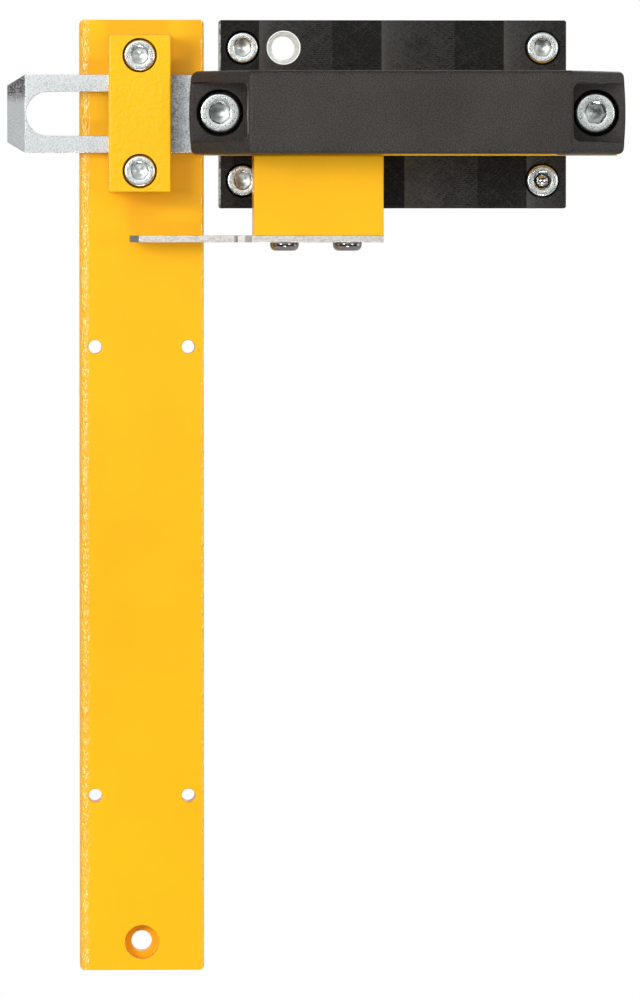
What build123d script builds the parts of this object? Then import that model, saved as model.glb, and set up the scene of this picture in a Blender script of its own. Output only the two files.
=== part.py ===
from build123d import *

import os
from collections import namedtuple

# Sliding bolt for the door of a machine guard, drawn with the bolt shot.
# The fixed half is a bar with a guide block for the guard's post. The moving half is a door plate
# with a carriage that slides along X and carries the bow handle, the bolt and the switch's actuator.
#
# Millimetres. +Z is up, and the front faces -Y. The origin is in the middle of the post bar's back
# face, at the height of the bolt's axis. Both halves are screwed to the plane y = 0.

# Sizes of socket head screws: shank, head, hexagon, clearance hole and counterbore. Cuts run PAST the
# faces that they go through, and THROUGH is a height in front of everything that a hole starts from.
Cap = namedtuple("Cap", "shank_r head_r head_h socket socket_depth clear_r sunk_r")
M6 = Cap(3.0, 5.0, 6.0, 5.0, 3.2, 3.3, 5.5)
M6_DEEP_SOCKET = M6._replace(socket_depth=4.4)
M8 = Cap(4.0, 6.5, 8.0, 6.0, 4.2, 4.25, 7.5)
M6_NECK_R = 2.675
HEAD_CHAMFER = 0.55
END_CHAMFER = 0.6
M5_R = 2.5
M5_HEAD_R = 4.7
M5_HEAD_H = 2.7
M5_SOCKET = 3.0
M5_SOCKET_DEPTH = 1.8
BUTTON_RIM_H = 0.7
BUTTON_MIDDLE = (4.15, 1.9)
BUTTON_TOP_R = 2.9
TAPPED_PLAY = 0.03
THROUGH = -20.0
PAST = 1.0
M5_TAPPED_R = 2.15

# Post bar, and the holes for the safety switch and for its own lower screw.
BAR_W = 40.0
BAR_T = 12.0
BAR_TOP = 30.3
BAR_BOTTOM = -276.0
BAR_CORNER_R = 1.5
BAR_ROLLED_R = 2.4
BAR_EDGE_R = 0.8
SWITCH_PITCH = 30.0
SWITCH_Z = (-74.9, -219.6)
SWITCH_RIM = 0.25
BAR_SCREW_Z = -267.0
BAR_SCREW_SEAT = -5.6

# Guide block on the bar.
GUIDE_X = -0.9
GUIDE_W = 20.0
GUIDE_H = 50.4
GUIDE_FRONT = -30.0
GUIDE_EDGE_R = 0.8
GUIDE_RIM_R = 0.72
GUIDE_SCREW_Z = 18.5
GUIDE_SEAT = -23.2
GUIDE_SCREW_LENGTH = 35.0
GROOVE_HALF_H = 12.8
GROOVE_FRONT = -19.1

# Bolt.
BOLT_TIP = -43.2
BOLT_SHOULDER = -37.5
BOLT_HALF_H = 12.5
BOLT_FRONT = -18.8
BOLT_BACK = -12.8
BOLT_TIP_T = 1.5
BOLT_TIP_DROP = 3.4
BOLT_SLOT_H = 14.2
BOLT_SLOT_X = (-37.2, -2.0)
BOLT_TAIL_X = (17.5, 52.0)
BOLT_TAIL_HALF_H = 10.0
BOLT_FIXING_X = 44.0
BOLT_FIXING_LENGTH = 12.0
TAIL_PLAY = 0.2

# Bow handle. Heights are above its mounting face.
HANDLE_X = 84.6
HANDLE_LENGTH = 139.0
HANDLE_PITCH = 120.0
HANDLE_HALF_W = 13.2
HANDLE_FACE = -18.8
HANDLE_H = 40.0
HANDLE_END_H = 20.0
HANDLE_FLAT = 102.0
HANDLE_UNDER_H = 27.0
HANDLE_FOOT = 21.6
HANDLE_INNER_R = 8.0
HANDLE_EDGE_R = 1.5
HANDLE_CORNER_R = 2.0
HANDLE_BULGE = 0.8
POCKET_WALL = 51.5
POCKET_HALF_W = 9.3
POCKET_FLOOR_H = 20.0
POCKET_R = 2.4
HANDLE_SEAT_H = 10.0
HANDLE_SCREW_LENGTHS = {-1: 16.0, 1: 25.0}

# Carriage, with the flag block that holds the actuator, and the runner under it.
CARRIAGE_X = (17.5, 152.9)
CARRIAGE_HALF_H = 13.4
CARRIAGE_BACK = -10.3
CARRIAGE_FLOOR_X = 20.6
CARRIAGE_LIP_BACK = -12.5
CARRIAGE_CHAMFER = 0.3
FLAG_X = (35.5, 77.1)
FLAG_BOTTOM = -39.1
FLAG_FRONT = -32.0
FLAG_BACK = -13.2
FLAG_EDGE_R = 0.6
RUNNER_X = (21.0, 152.0)
RUNNER_NECK_HALF_H = 10.0
RUNNER_FOOT_HALF_H = 13.0
RUNNER_FOOT_FRONT = -6.8
RUNNER_BACK = -3.2
RUNNER_SCREW_X = (58.0, 106.0)
RUNNER_SCREW_LENGTH = 14.0
TRAVEL = 55.0
STOP_Z = -8.5
STOP_X = 100.0
STOP_R = 3.0
STOP_GROOVE_HALF_H = 3.2
STOP_GROOVE_FLOOR = -5.8
STOP_PIN_FRONT = -5.5

# Door plate.
PLATE_X = (25.0, 137.0)
PLATE_HALF_H = 30.3
PLATE_FRONT = -10.0
PLATE_CHAMFER = 0.45
CHANNEL_MOUTH_HALF_H = 10.25
CHANNEL_HALF_H = 13.25
CHANNEL_LIP = -7.1
CHANNEL_FLOOR = -2.9
PLATE_SCREW_X = (32.6, 129.2)
PLATE_SCREW_Z = 21.4
PLATE_SEATS = (-3.6, -6.5)
PLATE_SCREW_LENGTH = 16.0
SECURITY_BALL_R = 2.3
BUSH_X = 45.8
BUSH_Z = 21.4
BUSH_R = 5.5
BUSH_BORE_R = 3.8
BUSH_MOUTH_R = 5.1
BUSH_MOUTH_H = 3.0

# Ball catch between runner and door plate.
CATCH_X = 72.0
CATCH_Z = 6.0
CATCH_SLEEVE_R = 3.0
CATCH_SLEEVE_Y = (-15.3, -3.3)
CATCH_BORE_R = 1.9
CATCH_BORE_BOTTOM = -12.5
CATCH_BALL_R = 1.75
CATCH_BALL_OUT = 0.7
CATCH_TRACK_DEPTH = 0.6
CATCH_POCKET_DEPTH = 1.0
CATCH_POCKET_R = 2.05
SPRING_R = 1.7
SPRING_BORE_R = 1.2

# Actuator for the safety switch, and its screws.
ACTUATOR_T = 2.2
ACTUATOR_X = (-4.0, 77.2)
ACTUATOR_BASE_X = 35.6
ACTUATOR_NECK_X = 29.4
ACTUATOR_BASE_Y = (-31.4, -14.0)
ACTUATOR_NECK_Y = (-28.3, -17.1)
ACTUATOR_TONGUE_Y = (-30.9, -14.5)
ACTUATOR_TIP_CHAMFER = 3.0
ACTUATOR_CORNER = 0.6
WINDOW_X = (5.0, 20.0)
WINDOW_Y = (-26.7, -18.7)
WINDOW_R = 1.0
ACTUATOR_HOLE_X = (45.6, 65.8)
ACTUATOR_HOLE_Y = -22.7
ACTUATOR_HOLE_R = 2.65
ACTUATOR_SCREW_LENGTH = 10.0


def block(x, y, z):
    """Box between two values along each axis."""
    middle = [sum(pair) / 2 for pair in (x, y, z)]
    size = [pair[1] - pair[0] for pair in (x, y, z)]
    return Pos(*middle) * Box(*size)


def rod(x, z, radius, y0, y1):
    """Cylinder along Y, from y0 back to y1."""
    return Pos(x, (y0 + y1) / 2, z) * Rot(-90, 0, 0) * Cylinder(radius, y1 - y0)


def taper(x, z, front_r, back_r, y0, y1):
    """Cone along Y, with front_r at y0 and back_r at y1."""
    return Pos(x, (y0 + y1) / 2, z) * Rot(-90, 0, 0) * Cone(front_r, back_r, y1 - y0)


def front_plane(x, y, z):
    """Plane at a point, facing back, with its x axis along X."""
    return Plane(origin=(x, y, z), x_dir=(1, 0, 0), z_dir=(0, 1, 0))


def slot_along_x(x0, x1, z, half_h, y0, y1):
    """Round-ended slot between two end centres, from y0 back to y1."""
    shape = block((x0, x1), (y0, y1), (z - half_h, z + half_h))
    return shape + rod(x0, z, half_h, y0, y1) + rod(x1, z, half_h, y0, y1)


def shank(x, z, radius, y0, y1):
    """Screw shank from y0 back to y1, with a chamfered end."""
    body = rod(x, z, radius, y0, y1 - END_CHAMFER)
    return body + taper(x, z, radius, radius - END_CHAMFER, y1 - END_CHAMFER, y1)


def cap_head(size, x, z, seat):
    """Head of a socket head screw, standing on the seat."""
    top = seat - size.head_h
    rim = top + HEAD_CHAMFER
    head = rod(x, z, size.head_r, rim, seat)
    head += taper(x, z, size.head_r - HEAD_CHAMFER, size.head_r, top, rim)
    hexagon = RegularPolygon(size.socket / 2, 6, major_radius=False)
    return head - extrude(front_plane(x, top, z) * hexagon, amount=size.socket_depth)


def cap_screw(size, x, z, seat, length):
    """Socket head screw that points back, threaded all the way."""
    return cap_head(size, x, z, seat) + shank(x, z, size.shank_r, seat, seat + length)


def mounting_screw(size, x, z, seat, length):
    """M6 socket head screw with a reduced shank, threaded where it stands out of the back at y = 0."""
    neck = rod(x, z, M6_NECK_R, seat, 0)
    return cap_head(size, x, z, seat) + neck + shank(x, z, size.shank_r, 0, seat + length)


def cap_hole(size, x, z, front, seat, back):
    """Clearance hole with a counterbore, for a socket head screw."""
    return rod(x, z, size.sunk_r, front, seat) + rod(x, z, size.clear_r, seat, back)


def countersunk_screw(x, z, top, length, way):
    """Flat headed M5 screw; way is 1 for a screw that points back, -1 for one that points forward."""
    head = taper(0, 0, M5_HEAD_R, M5_R, 0, M5_HEAD_R - M5_R)
    hexagon = front_plane(0, 0, 0) * RegularPolygon(M5_SOCKET / 2, 6, major_radius=False)
    screw = head + shank(0, 0, M5_R, M5_HEAD_R - M5_R, length) - extrude(hexagon, amount=M5_SOCKET_DEPTH)
    return Pos(x, top, z) * Rot(0 if way > 0 else 180, 0, 0) * screw


def countersunk_hole(x, z, top, depth, way):
    """Hole for a flat headed M5 screw."""
    radius = M5_R + TAPPED_PLAY
    hole = taper(0, 0, M5_HEAD_R + TAPPED_PLAY, radius, 0, M5_HEAD_R - M5_R) + rod(0, 0, radius, 0, depth)
    return Pos(x, top, z) * Rot(0 if way > 0 else 180, 0, 0) * hole


def post_bar():
    """Flat bar with one rolled edge, the switch's tapped holes and clearance holes for M6 screws."""
    section = Pos(0, -BAR_T / 2) * Rectangle(BAR_W, BAR_T)
    left = section.vertices().group_by(Axis.Y)[0].sort_by(Axis.X)[0]
    section = fillet(left, BAR_ROLLED_R)
    right = section.vertices().group_by(Axis.Y)[0].sort_by(Axis.X)[-1]
    section = fillet(right, BAR_EDGE_R)
    bar = Pos(0, 0, BAR_BOTTOM) * extrude(section, amount=BAR_TOP - BAR_BOTTOM)
    middle_z = (BAR_TOP + BAR_BOTTOM) / 2
    outline = RectangleRounded(BAR_W, BAR_TOP - BAR_BOTTOM, BAR_CORNER_R)
    bar &= extrude(front_plane(0, -BAR_T - PAST, middle_z) * outline, amount=BAR_T + 2 * PAST)
    for z in SWITCH_Z:
        for x in (-SWITCH_PITCH / 2, SWITCH_PITCH / 2):
            bar -= rod(x, z, M5_TAPPED_R, -BAR_T - PAST, PAST)
            mouth = M5_TAPPED_R + SWITCH_RIM
            bar -= taper(x, z, mouth, M5_TAPPED_R, -BAR_T, -BAR_T + SWITCH_RIM)
    bar -= cap_hole(M6, 0, BAR_SCREW_Z, -BAR_T - PAST, BAR_SCREW_SEAT, PAST)
    for z in (-GUIDE_SCREW_Z, GUIDE_SCREW_Z):
        bar -= rod(GUIDE_X, z, M6.clear_r, THROUGH, PAST)
    return bar


def guide_block():
    """Block across the bolt, open towards the bar."""
    x = (GUIDE_X - GUIDE_W / 2, GUIDE_X + GUIDE_W / 2)
    body = block(x, (GUIDE_FRONT, -BAR_T), (-GUIDE_H / 2, GUIDE_H / 2))
    body = fillet(body.edges().filter_by(Axis.Y), GUIDE_EDGE_R)
    body = fillet(body.edges().group_by(Axis.Y)[0], GUIDE_RIM_R)
    body -= block((x[0] - PAST, x[1] + PAST), (GROOVE_FRONT, 0), (-GROOVE_HALF_H, GROOVE_HALF_H))
    for z in (-GUIDE_SCREW_Z, GUIDE_SCREW_Z):
        body -= cap_hole(M6, GUIDE_X, z, GUIDE_FRONT - PAST, GUIDE_SEAT, 0)
    return body


def guide_block_screws():
    """Two M6 screws through block and bar, into the guard's post."""
    heights = (-GUIDE_SCREW_Z, GUIDE_SCREW_Z)
    return [mounting_screw(M6, GUIDE_X, z, GUIDE_SEAT, GUIDE_SCREW_LENGTH) for z in heights]


def bolt_plan():
    """Front outline of the bolt, with a chamfered tip and a narrower tail."""
    drop = BOLT_HALF_H - BOLT_TIP_DROP
    upper = [
        (BOLT_TIP, drop),
        (BOLT_SHOULDER, BOLT_HALF_H),
        (BOLT_TAIL_X[0], BOLT_HALF_H),
        (BOLT_TAIL_X[0], BOLT_TAIL_HALF_H),
        (BOLT_TAIL_X[1], BOLT_TAIL_HALF_H),
    ]
    lower = [(x, -z) for x, z in reversed(upper)]
    return make_face(Polyline(*upper, *lower, close=True))


def bolt_tongue():
    """Flat bolt with a ramp on the front of its tip, a long slot, and two screw holes in its tail."""
    body = extrude(front_plane(0, BOLT_FRONT, 0) * bolt_plan(), amount=BOLT_BACK - BOLT_FRONT)
    tip_front = BOLT_BACK - BOLT_TIP_T
    ramp = make_face(Polyline(
        (BOLT_SHOULDER, BOLT_FRONT), (BOLT_TIP - PAST, BOLT_FRONT), (BOLT_TIP - PAST, tip_front),
        (BOLT_TIP, tip_front), close=True,
    ))
    body -= extrude(ramp, amount=BOLT_HALF_H + PAST, both=True)
    radius = BOLT_SLOT_H / 2
    body -= slot_along_x(BOLT_SLOT_X[0] + radius, BOLT_SLOT_X[1] - radius, 0, radius, THROUGH, 0)
    body -= rod(HANDLE_X - HANDLE_PITCH / 2, 0, M8.shank_r + TAPPED_PLAY, THROUGH, 0)
    body -= countersunk_hole(BOLT_FIXING_X, 0, BOLT_FRONT, BOLT_FIXING_LENGTH, 1)
    return body


def bolt_fixing_screw():
    """Countersunk screw that keeps the bolt's tail in the carriage."""
    return [countersunk_screw(BOLT_FIXING_X, 0, BOLT_FRONT, BOLT_FIXING_LENGTH, 1)]


def handle_side():
    """Side outline of the bow handle: feet, sloping shoulders, flat grip and the gap for the hand."""
    end = HANDLE_LENGTH / 2
    inner = end - HANDLE_FOOT
    right = [
        (inner, 0), (end, 0), (end, HANDLE_END_H), (HANDLE_FLAT / 2, HANDLE_H),
    ]
    left = [(-x, h) for x, h in reversed(right)]
    points = right + left + [(-inner, HANDLE_UNDER_H), (inner, HANDLE_UNDER_H)]
    outline = make_face(Polyline(*[(HANDLE_X + x, HANDLE_FACE - h) for x, h in points], close=True))
    inside = [v for v in outline.vertices() if abs(HANDLE_FACE - v.Y - HANDLE_UNDER_H) < 0.1]
    outline = fillet(inside, HANDLE_INNER_R)
    bends = [v for v in outline.vertices() if HANDLE_FACE - v.Y > HANDLE_H - 0.1]
    bends += [v for v in outline.vertices() if abs(HANDLE_FACE - v.Y - HANDLE_END_H) < 0.1]
    return fillet(bends, HANDLE_EDGE_R)


def handle_front():
    """Front outline of the handle, its ends slightly convex."""
    flat_end = HANDLE_LENGTH / 2 - HANDLE_BULGE
    tip = HANDLE_LENGTH / 2
    w = HANDLE_HALF_W
    outline = make_face([
        Line((-flat_end, w), (flat_end, w)),
        ThreePointArc((flat_end, w), (tip, 0), (flat_end, -w)),
        Line((flat_end, -w), (-flat_end, -w)),
        ThreePointArc((-flat_end, -w), (-tip, 0), (-flat_end, w)),
    ])
    return fillet(outline.vertices(), HANDLE_CORNER_R)


def handle_pocket(side):
    """Pocket over one foot, open at the handle's end, with the counterbored hole in its floor."""
    x0 = HANDLE_X + side * POCKET_WALL
    x1 = HANDLE_X + side * (HANDLE_LENGTH / 2 + POCKET_R + PAST)
    floor = HANDLE_FACE - POCKET_FLOOR_H
    size = RectangleRounded(abs(x1 - x0), 2 * POCKET_HALF_W, POCKET_R)
    top = HANDLE_FACE - HANDLE_H - PAST
    pocket = extrude(front_plane((x0 + x1) / 2, top, 0) * size, amount=floor - top)
    x = HANDLE_X + side * HANDLE_PITCH / 2
    return pocket + cap_hole(M8, x, 0, floor - PAST, HANDLE_FACE - HANDLE_SEAT_H, HANDLE_FACE + PAST)


def handle():
    """Bow handle with rounded edges."""
    body = extrude(handle_side(), amount=HANDLE_HALF_W, both=True)
    rims = [e for e in body.edges() if abs(abs(e.center().Z) - HANDLE_HALF_W) < 0.01]
    rims = [e for e in rims if e.center().Y < HANDLE_FACE - 1]
    body = fillet(rims, HANDLE_EDGE_R)
    crest = HANDLE_FACE - HANDLE_H
    body &= extrude(front_plane(HANDLE_X, crest - PAST, 0) * handle_front(), amount=HANDLE_H + 2 * PAST)
    return body - handle_pocket(-1) - handle_pocket(1)


def handle_screw(side):
    """M8 screw through a foot: the left one (-1) into the bolt, the right one (1) into the runner."""
    x = HANDLE_X + side * HANDLE_PITCH / 2
    return [cap_screw(M8, x, 0, HANDLE_FACE - HANDLE_SEAT_H, HANDLE_SCREW_LENGTHS[side])]


def flag_block():
    """Block below the handle that the actuator hangs from."""
    body = block(FLAG_X, (FLAG_FRONT, FLAG_BACK), (FLAG_BOTTOM, -CARRIAGE_HALF_H))
    front = [e for e in body.edges() if e.center().Y < FLAG_FRONT + 0.01]
    uprights = body.edges().filter_by(Axis.Z).group_by(Axis.Y)[-1]
    body = fillet(front + uprights, FLAG_EDGE_R)
    for x in ACTUATOR_HOLE_X:
        bore = Cylinder(M5_R + TAPPED_PLAY, 2 * (ACTUATOR_SCREW_LENGTH + PAST))
        body -= Pos(x, ACTUATOR_HOLE_Y, FLAG_BOTTOM) * bore
    return body


def carriage():
    """Carriage plate with a recess for the bolt's tail, and the flag block under it."""
    body = block(CARRIAGE_X, (HANDLE_FACE, CARRIAGE_BACK), (-CARRIAGE_HALF_H, CARRIAGE_HALF_H))
    body = chamfer(body.edges().group_by(Axis.Y)[0], CARRIAGE_CHAMFER)
    root = block(FLAG_X, (HANDLE_FACE, FLAG_BACK), (-CARRIAGE_HALF_H - PAST, -CARRIAGE_HALF_H + PAST))
    body += flag_block() + root
    tail = (BOLT_TAIL_X[0] - PAST, BOLT_TAIL_X[1] + TAIL_PLAY)
    tail_z = BOLT_TAIL_HALF_H + TAIL_PLAY / 2
    body -= block(tail, (HANDLE_FACE - PAST, BOLT_BACK), (-tail_z, tail_z))
    clear_of_bar = (CARRIAGE_X[0] - PAST, CARRIAGE_FLOOR_X)
    full_height = (-CARRIAGE_HALF_H - PAST, CARRIAGE_HALF_H + PAST)
    body -= block(clear_of_bar, (CARRIAGE_LIP_BACK, 0), full_height)
    body -= rod(HANDLE_X + HANDLE_PITCH / 2, 0, M8.clear_r, THROUGH, 0)
    for x in RUNNER_SCREW_X:
        body -= rod(x, 0, M5_R + TAPPED_PLAY, RUNNER_BACK - RUNNER_SCREW_LENGTH - PAST, 0)
    body -= rod(BOLT_FIXING_X, 0, M5_R + TAPPED_PLAY, THROUGH, 0)
    body -= rod(CATCH_X, CATCH_Z, CATCH_SLEEVE_R + TAPPED_PLAY, CATCH_SLEEVE_Y[0], 0)
    return body


def slide_runner():
    """T-shaped runner in the door plate's channel, with the groove that the stop pin ends."""
    body = block(RUNNER_X, (CARRIAGE_BACK, RUNNER_BACK), (-RUNNER_NECK_HALF_H, RUNNER_NECK_HALF_H))
    body += block(RUNNER_X, (RUNNER_FOOT_FRONT, RUNNER_BACK), (-RUNNER_FOOT_HALF_H, RUNNER_FOOT_HALF_H))
    body -= rod(HANDLE_X + HANDLE_PITCH / 2, 0, M8.shank_r + TAPPED_PLAY, THROUGH, 0)
    for x in RUNNER_SCREW_X:
        body -= countersunk_hole(x, 0, RUNNER_BACK, RUNNER_SCREW_LENGTH, -1)
    body -= rod(BOLT_FIXING_X, 0, M5_R + TAPPED_PLAY, THROUGH, BOLT_FRONT + BOLT_FIXING_LENGTH)
    body -= slot_along_x(STOP_X - TRAVEL, STOP_X, STOP_Z, STOP_GROOVE_HALF_H, STOP_GROOVE_FLOOR, 0)
    body -= rod(CATCH_X, CATCH_Z, CATCH_SLEEVE_R + TAPPED_PLAY, THROUGH, 0)
    return body


def runner_screws():
    """Two countersunk screws from the runner's back into the carriage."""
    return [countersunk_screw(x, 0, RUNNER_BACK, RUNNER_SCREW_LENGTH, -1) for x in RUNNER_SCREW_X]


def door_plate():
    """Plate with a T channel, four counterbored holes, and holes for bush, stop pin and ball catch."""
    body = block(PLATE_X, (PLATE_FRONT, 0), (-PLATE_HALF_H, PLATE_HALF_H))
    body = chamfer(body.edges(), PLATE_CHAMFER)
    along = (PLATE_X[0] - PAST, PLATE_X[1] + PAST)
    mouth = (-CHANNEL_MOUTH_HALF_H, CHANNEL_MOUTH_HALF_H)
    body -= block(along, (PLATE_FRONT - PAST, CHANNEL_FLOOR), mouth)
    body -= block(along, (CHANNEL_LIP, CHANNEL_FLOOR), (-CHANNEL_HALF_H, CHANNEL_HALF_H))
    for x, seat in zip(PLATE_SCREW_X, PLATE_SEATS):
        for z in (-PLATE_SCREW_Z, PLATE_SCREW_Z):
            body -= cap_hole(M6, x, z, PLATE_FRONT - PAST, seat, PAST)
    body -= rod(BUSH_X, BUSH_Z, BUSH_R, PLATE_FRONT - PAST, PAST)
    body -= rod(STOP_X, STOP_Z, STOP_R, CHANNEL_FLOOR - PAST, PAST)
    return body - catch_track()


def catch_track():
    """Groove that the ball runs in, with a deeper pocket at each end of the travel."""
    ends = (CATCH_X, CATCH_X + TRAVEL)
    front = CHANNEL_FLOOR - PAST
    track = slot_along_x(*ends, CATCH_Z, CATCH_BALL_R, front, CHANNEL_FLOOR + CATCH_TRACK_DEPTH)
    for x in ends:
        track += rod(x, CATCH_Z, CATCH_POCKET_R, front, CHANNEL_FLOOR + CATCH_POCKET_DEPTH)
    return track


def door_plate_screws(side):
    """Two M6 screws of the door plate's left (0) or right (1) pair; one hexagon takes the security ball."""
    sizes = (M6_DEEP_SOCKET if side else M6, M6)
    heights = (-PLATE_SCREW_Z, PLATE_SCREW_Z)
    x, seat = PLATE_SCREW_X[side], PLATE_SEATS[side]
    return [mounting_screw(size, x, z, seat, PLATE_SCREW_LENGTH) for size, z in zip(sizes, heights)]


def security_ball():
    """Ball driven into the lower right screw's hexagon."""
    floor = PLATE_SEATS[1] - M6.head_h + M6_DEEP_SOCKET.socket_depth
    return [Pos(PLATE_SCREW_X[1], floor - SECURITY_BALL_R, -PLATE_SCREW_Z) * Sphere(SECURITY_BALL_R)]


def padlock_bush():
    """Bush with a wide countersunk mouth, for a padlock's shackle."""
    body = rod(BUSH_X, BUSH_Z, BUSH_R, PLATE_FRONT, 0)
    body -= rod(BUSH_X, BUSH_Z, BUSH_BORE_R, PLATE_FRONT - PAST, PAST)
    return body - taper(BUSH_X, BUSH_Z, BUSH_MOUTH_R, BUSH_BORE_R, PLATE_FRONT, PLATE_FRONT + BUSH_MOUTH_H)


def stop_pin():
    """Pin that stands in the runner's groove."""
    return rod(STOP_X, STOP_Z, STOP_R, STOP_PIN_FRONT, 0)


def detent_sleeve():
    """Threaded sleeve of the ball catch, open towards the door plate."""
    body = rod(CATCH_X, CATCH_Z, CATCH_SLEEVE_R, *CATCH_SLEEVE_Y)
    return body - rod(CATCH_X, CATCH_Z, CATCH_BORE_R, CATCH_BORE_BOTTOM, 0)


def ball_centre_y():
    """Height of the catch's ball, a little out of its sleeve."""
    return CATCH_SLEEVE_Y[1] + CATCH_BALL_OUT - CATCH_BALL_R


def detent_spring():
    """Plain tube in the space of the coil spring behind the ball."""
    behind = ball_centre_y() - CATCH_BALL_R
    body = rod(CATCH_X, CATCH_Z, SPRING_R, CATCH_BORE_BOTTOM, behind)
    return body - rod(CATCH_X, CATCH_Z, SPRING_BORE_R, CATCH_BORE_BOTTOM - PAST, 0)


def detent_ball():
    """Ball of the catch."""
    return Pos(CATCH_X, ball_centre_y(), CATCH_Z) * Sphere(CATCH_BALL_R)


def actuator_outline():
    """Plan of the actuator: wide base, notched neck, and a tongue with a chamfered tip."""
    tip, right = ACTUATOR_X
    lead = ACTUATOR_TIP_CHAMFER
    corner = ACTUATOR_CORNER
    near, far = ACTUATOR_BASE_Y
    return make_face(Polyline(
        (tip, ACTUATOR_TONGUE_Y[0] + lead), (tip + lead, ACTUATOR_TONGUE_Y[0]),
        (ACTUATOR_NECK_X, ACTUATOR_TONGUE_Y[0]), (ACTUATOR_NECK_X, ACTUATOR_NECK_Y[0]),
        (ACTUATOR_BASE_X, ACTUATOR_NECK_Y[0]), (ACTUATOR_BASE_X, near),
        (right - corner, near), (right, near + corner), (right, far - corner), (right - corner, far),
        (ACTUATOR_BASE_X, far), (ACTUATOR_BASE_X, ACTUATOR_NECK_Y[1]),
        (ACTUATOR_NECK_X, ACTUATOR_NECK_Y[1]), (ACTUATOR_NECK_X, ACTUATOR_TONGUE_Y[1]),
        (tip + lead, ACTUATOR_TONGUE_Y[1]), (tip, ACTUATOR_TONGUE_Y[1] - lead), close=True,
    ))


def actuator():
    """Sheet-metal actuator under the flag block, with the window that the switch's lock enters."""
    outline = actuator_outline()
    middle = ((WINDOW_X[0] + WINDOW_X[1]) / 2, (WINDOW_Y[0] + WINDOW_Y[1]) / 2)
    size = (WINDOW_X[1] - WINDOW_X[0], WINDOW_Y[1] - WINDOW_Y[0])
    outline -= Pos(*middle) * RectangleRounded(*size, WINDOW_R)
    for x in ACTUATOR_HOLE_X:
        outline -= Pos(x, ACTUATOR_HOLE_Y) * Circle(ACTUATOR_HOLE_R)
    return Pos(0, 0, FLAG_BOTTOM - ACTUATOR_T) * extrude(outline, amount=ACTUATOR_T)


def button_screw(x):
    """Button head M5 screw that points up, its head under the actuator."""
    seat = FLAG_BOTTOM - ACTUATOR_T
    dome = make_face([
        Line((0, 0), (M5_HEAD_R, 0)),
        Line((M5_HEAD_R, 0), (M5_HEAD_R, BUTTON_RIM_H)),
        ThreePointArc((M5_HEAD_R, BUTTON_RIM_H), BUTTON_MIDDLE, (BUTTON_TOP_R, M5_HEAD_H)),
        Line((BUTTON_TOP_R, M5_HEAD_H), (0, M5_HEAD_H)),
        Line((0, M5_HEAD_H), (0, 0)),
    ])
    head = revolve(Plane.XZ * dome, Axis.Z)
    hexagon = extrude(RegularPolygon(M5_SOCKET / 2, 6, major_radius=False), amount=M5_SOCKET_DEPTH)
    head -= Pos(0, 0, M5_HEAD_H - M5_SOCKET_DEPTH) * hexagon
    stem = Pos(0, 0, -ACTUATOR_SCREW_LENGTH / 2) * Cylinder(M5_R, ACTUATOR_SCREW_LENGTH)
    return Pos(x, ACTUATOR_HOLE_Y, seat) * Rot(180, 0, 0) * (head + stem)


def actuator_screws():
    """Two screws that hold the actuator."""
    return [button_screw(x) for x in ACTUATOR_HOLE_X]


NODES = {
    "post_bar": post_bar(),
    "guide_block": guide_block(),
    "guide_block_screws": guide_block_screws(),
    "bolt_tongue": bolt_tongue(),
    "bolt_fixing_screw": bolt_fixing_screw(),
    "handle": handle(),
    "handle_screw_left": handle_screw(-1),
    "handle_screw_right": handle_screw(1),
    "carriage": carriage(),
    "slide_runner": slide_runner(),
    "runner_screws": runner_screws(),
    "door_plate": door_plate(),
    "door_plate_screws_left": door_plate_screws(0),
    "door_plate_screws_right": door_plate_screws(1),
    "security_ball": security_ball(),
    "padlock_bush": padlock_bush(),
    "stop_pin": stop_pin(),
    "detent_sleeve": detent_sleeve(),
    "detent_spring": detent_spring(),
    "detent_ball": detent_ball(),
    "actuator": actuator(),
    "actuator_screws": actuator_screws(),
}

os.makedirs("parts", exist_ok=True)
for name, shape in NODES.items():
    solids = shape if isinstance(shape, list) else [shape]
    export_step(Compound(children=solids) if len(solids) > 1 else solids[0], f"parts/{name}.step")
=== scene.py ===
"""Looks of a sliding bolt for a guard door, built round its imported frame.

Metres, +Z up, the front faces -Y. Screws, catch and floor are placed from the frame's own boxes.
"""

import logging
import math
from dataclasses import dataclass, fields
from enum import Enum
from functools import reduce
from typing import ClassVar

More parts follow.
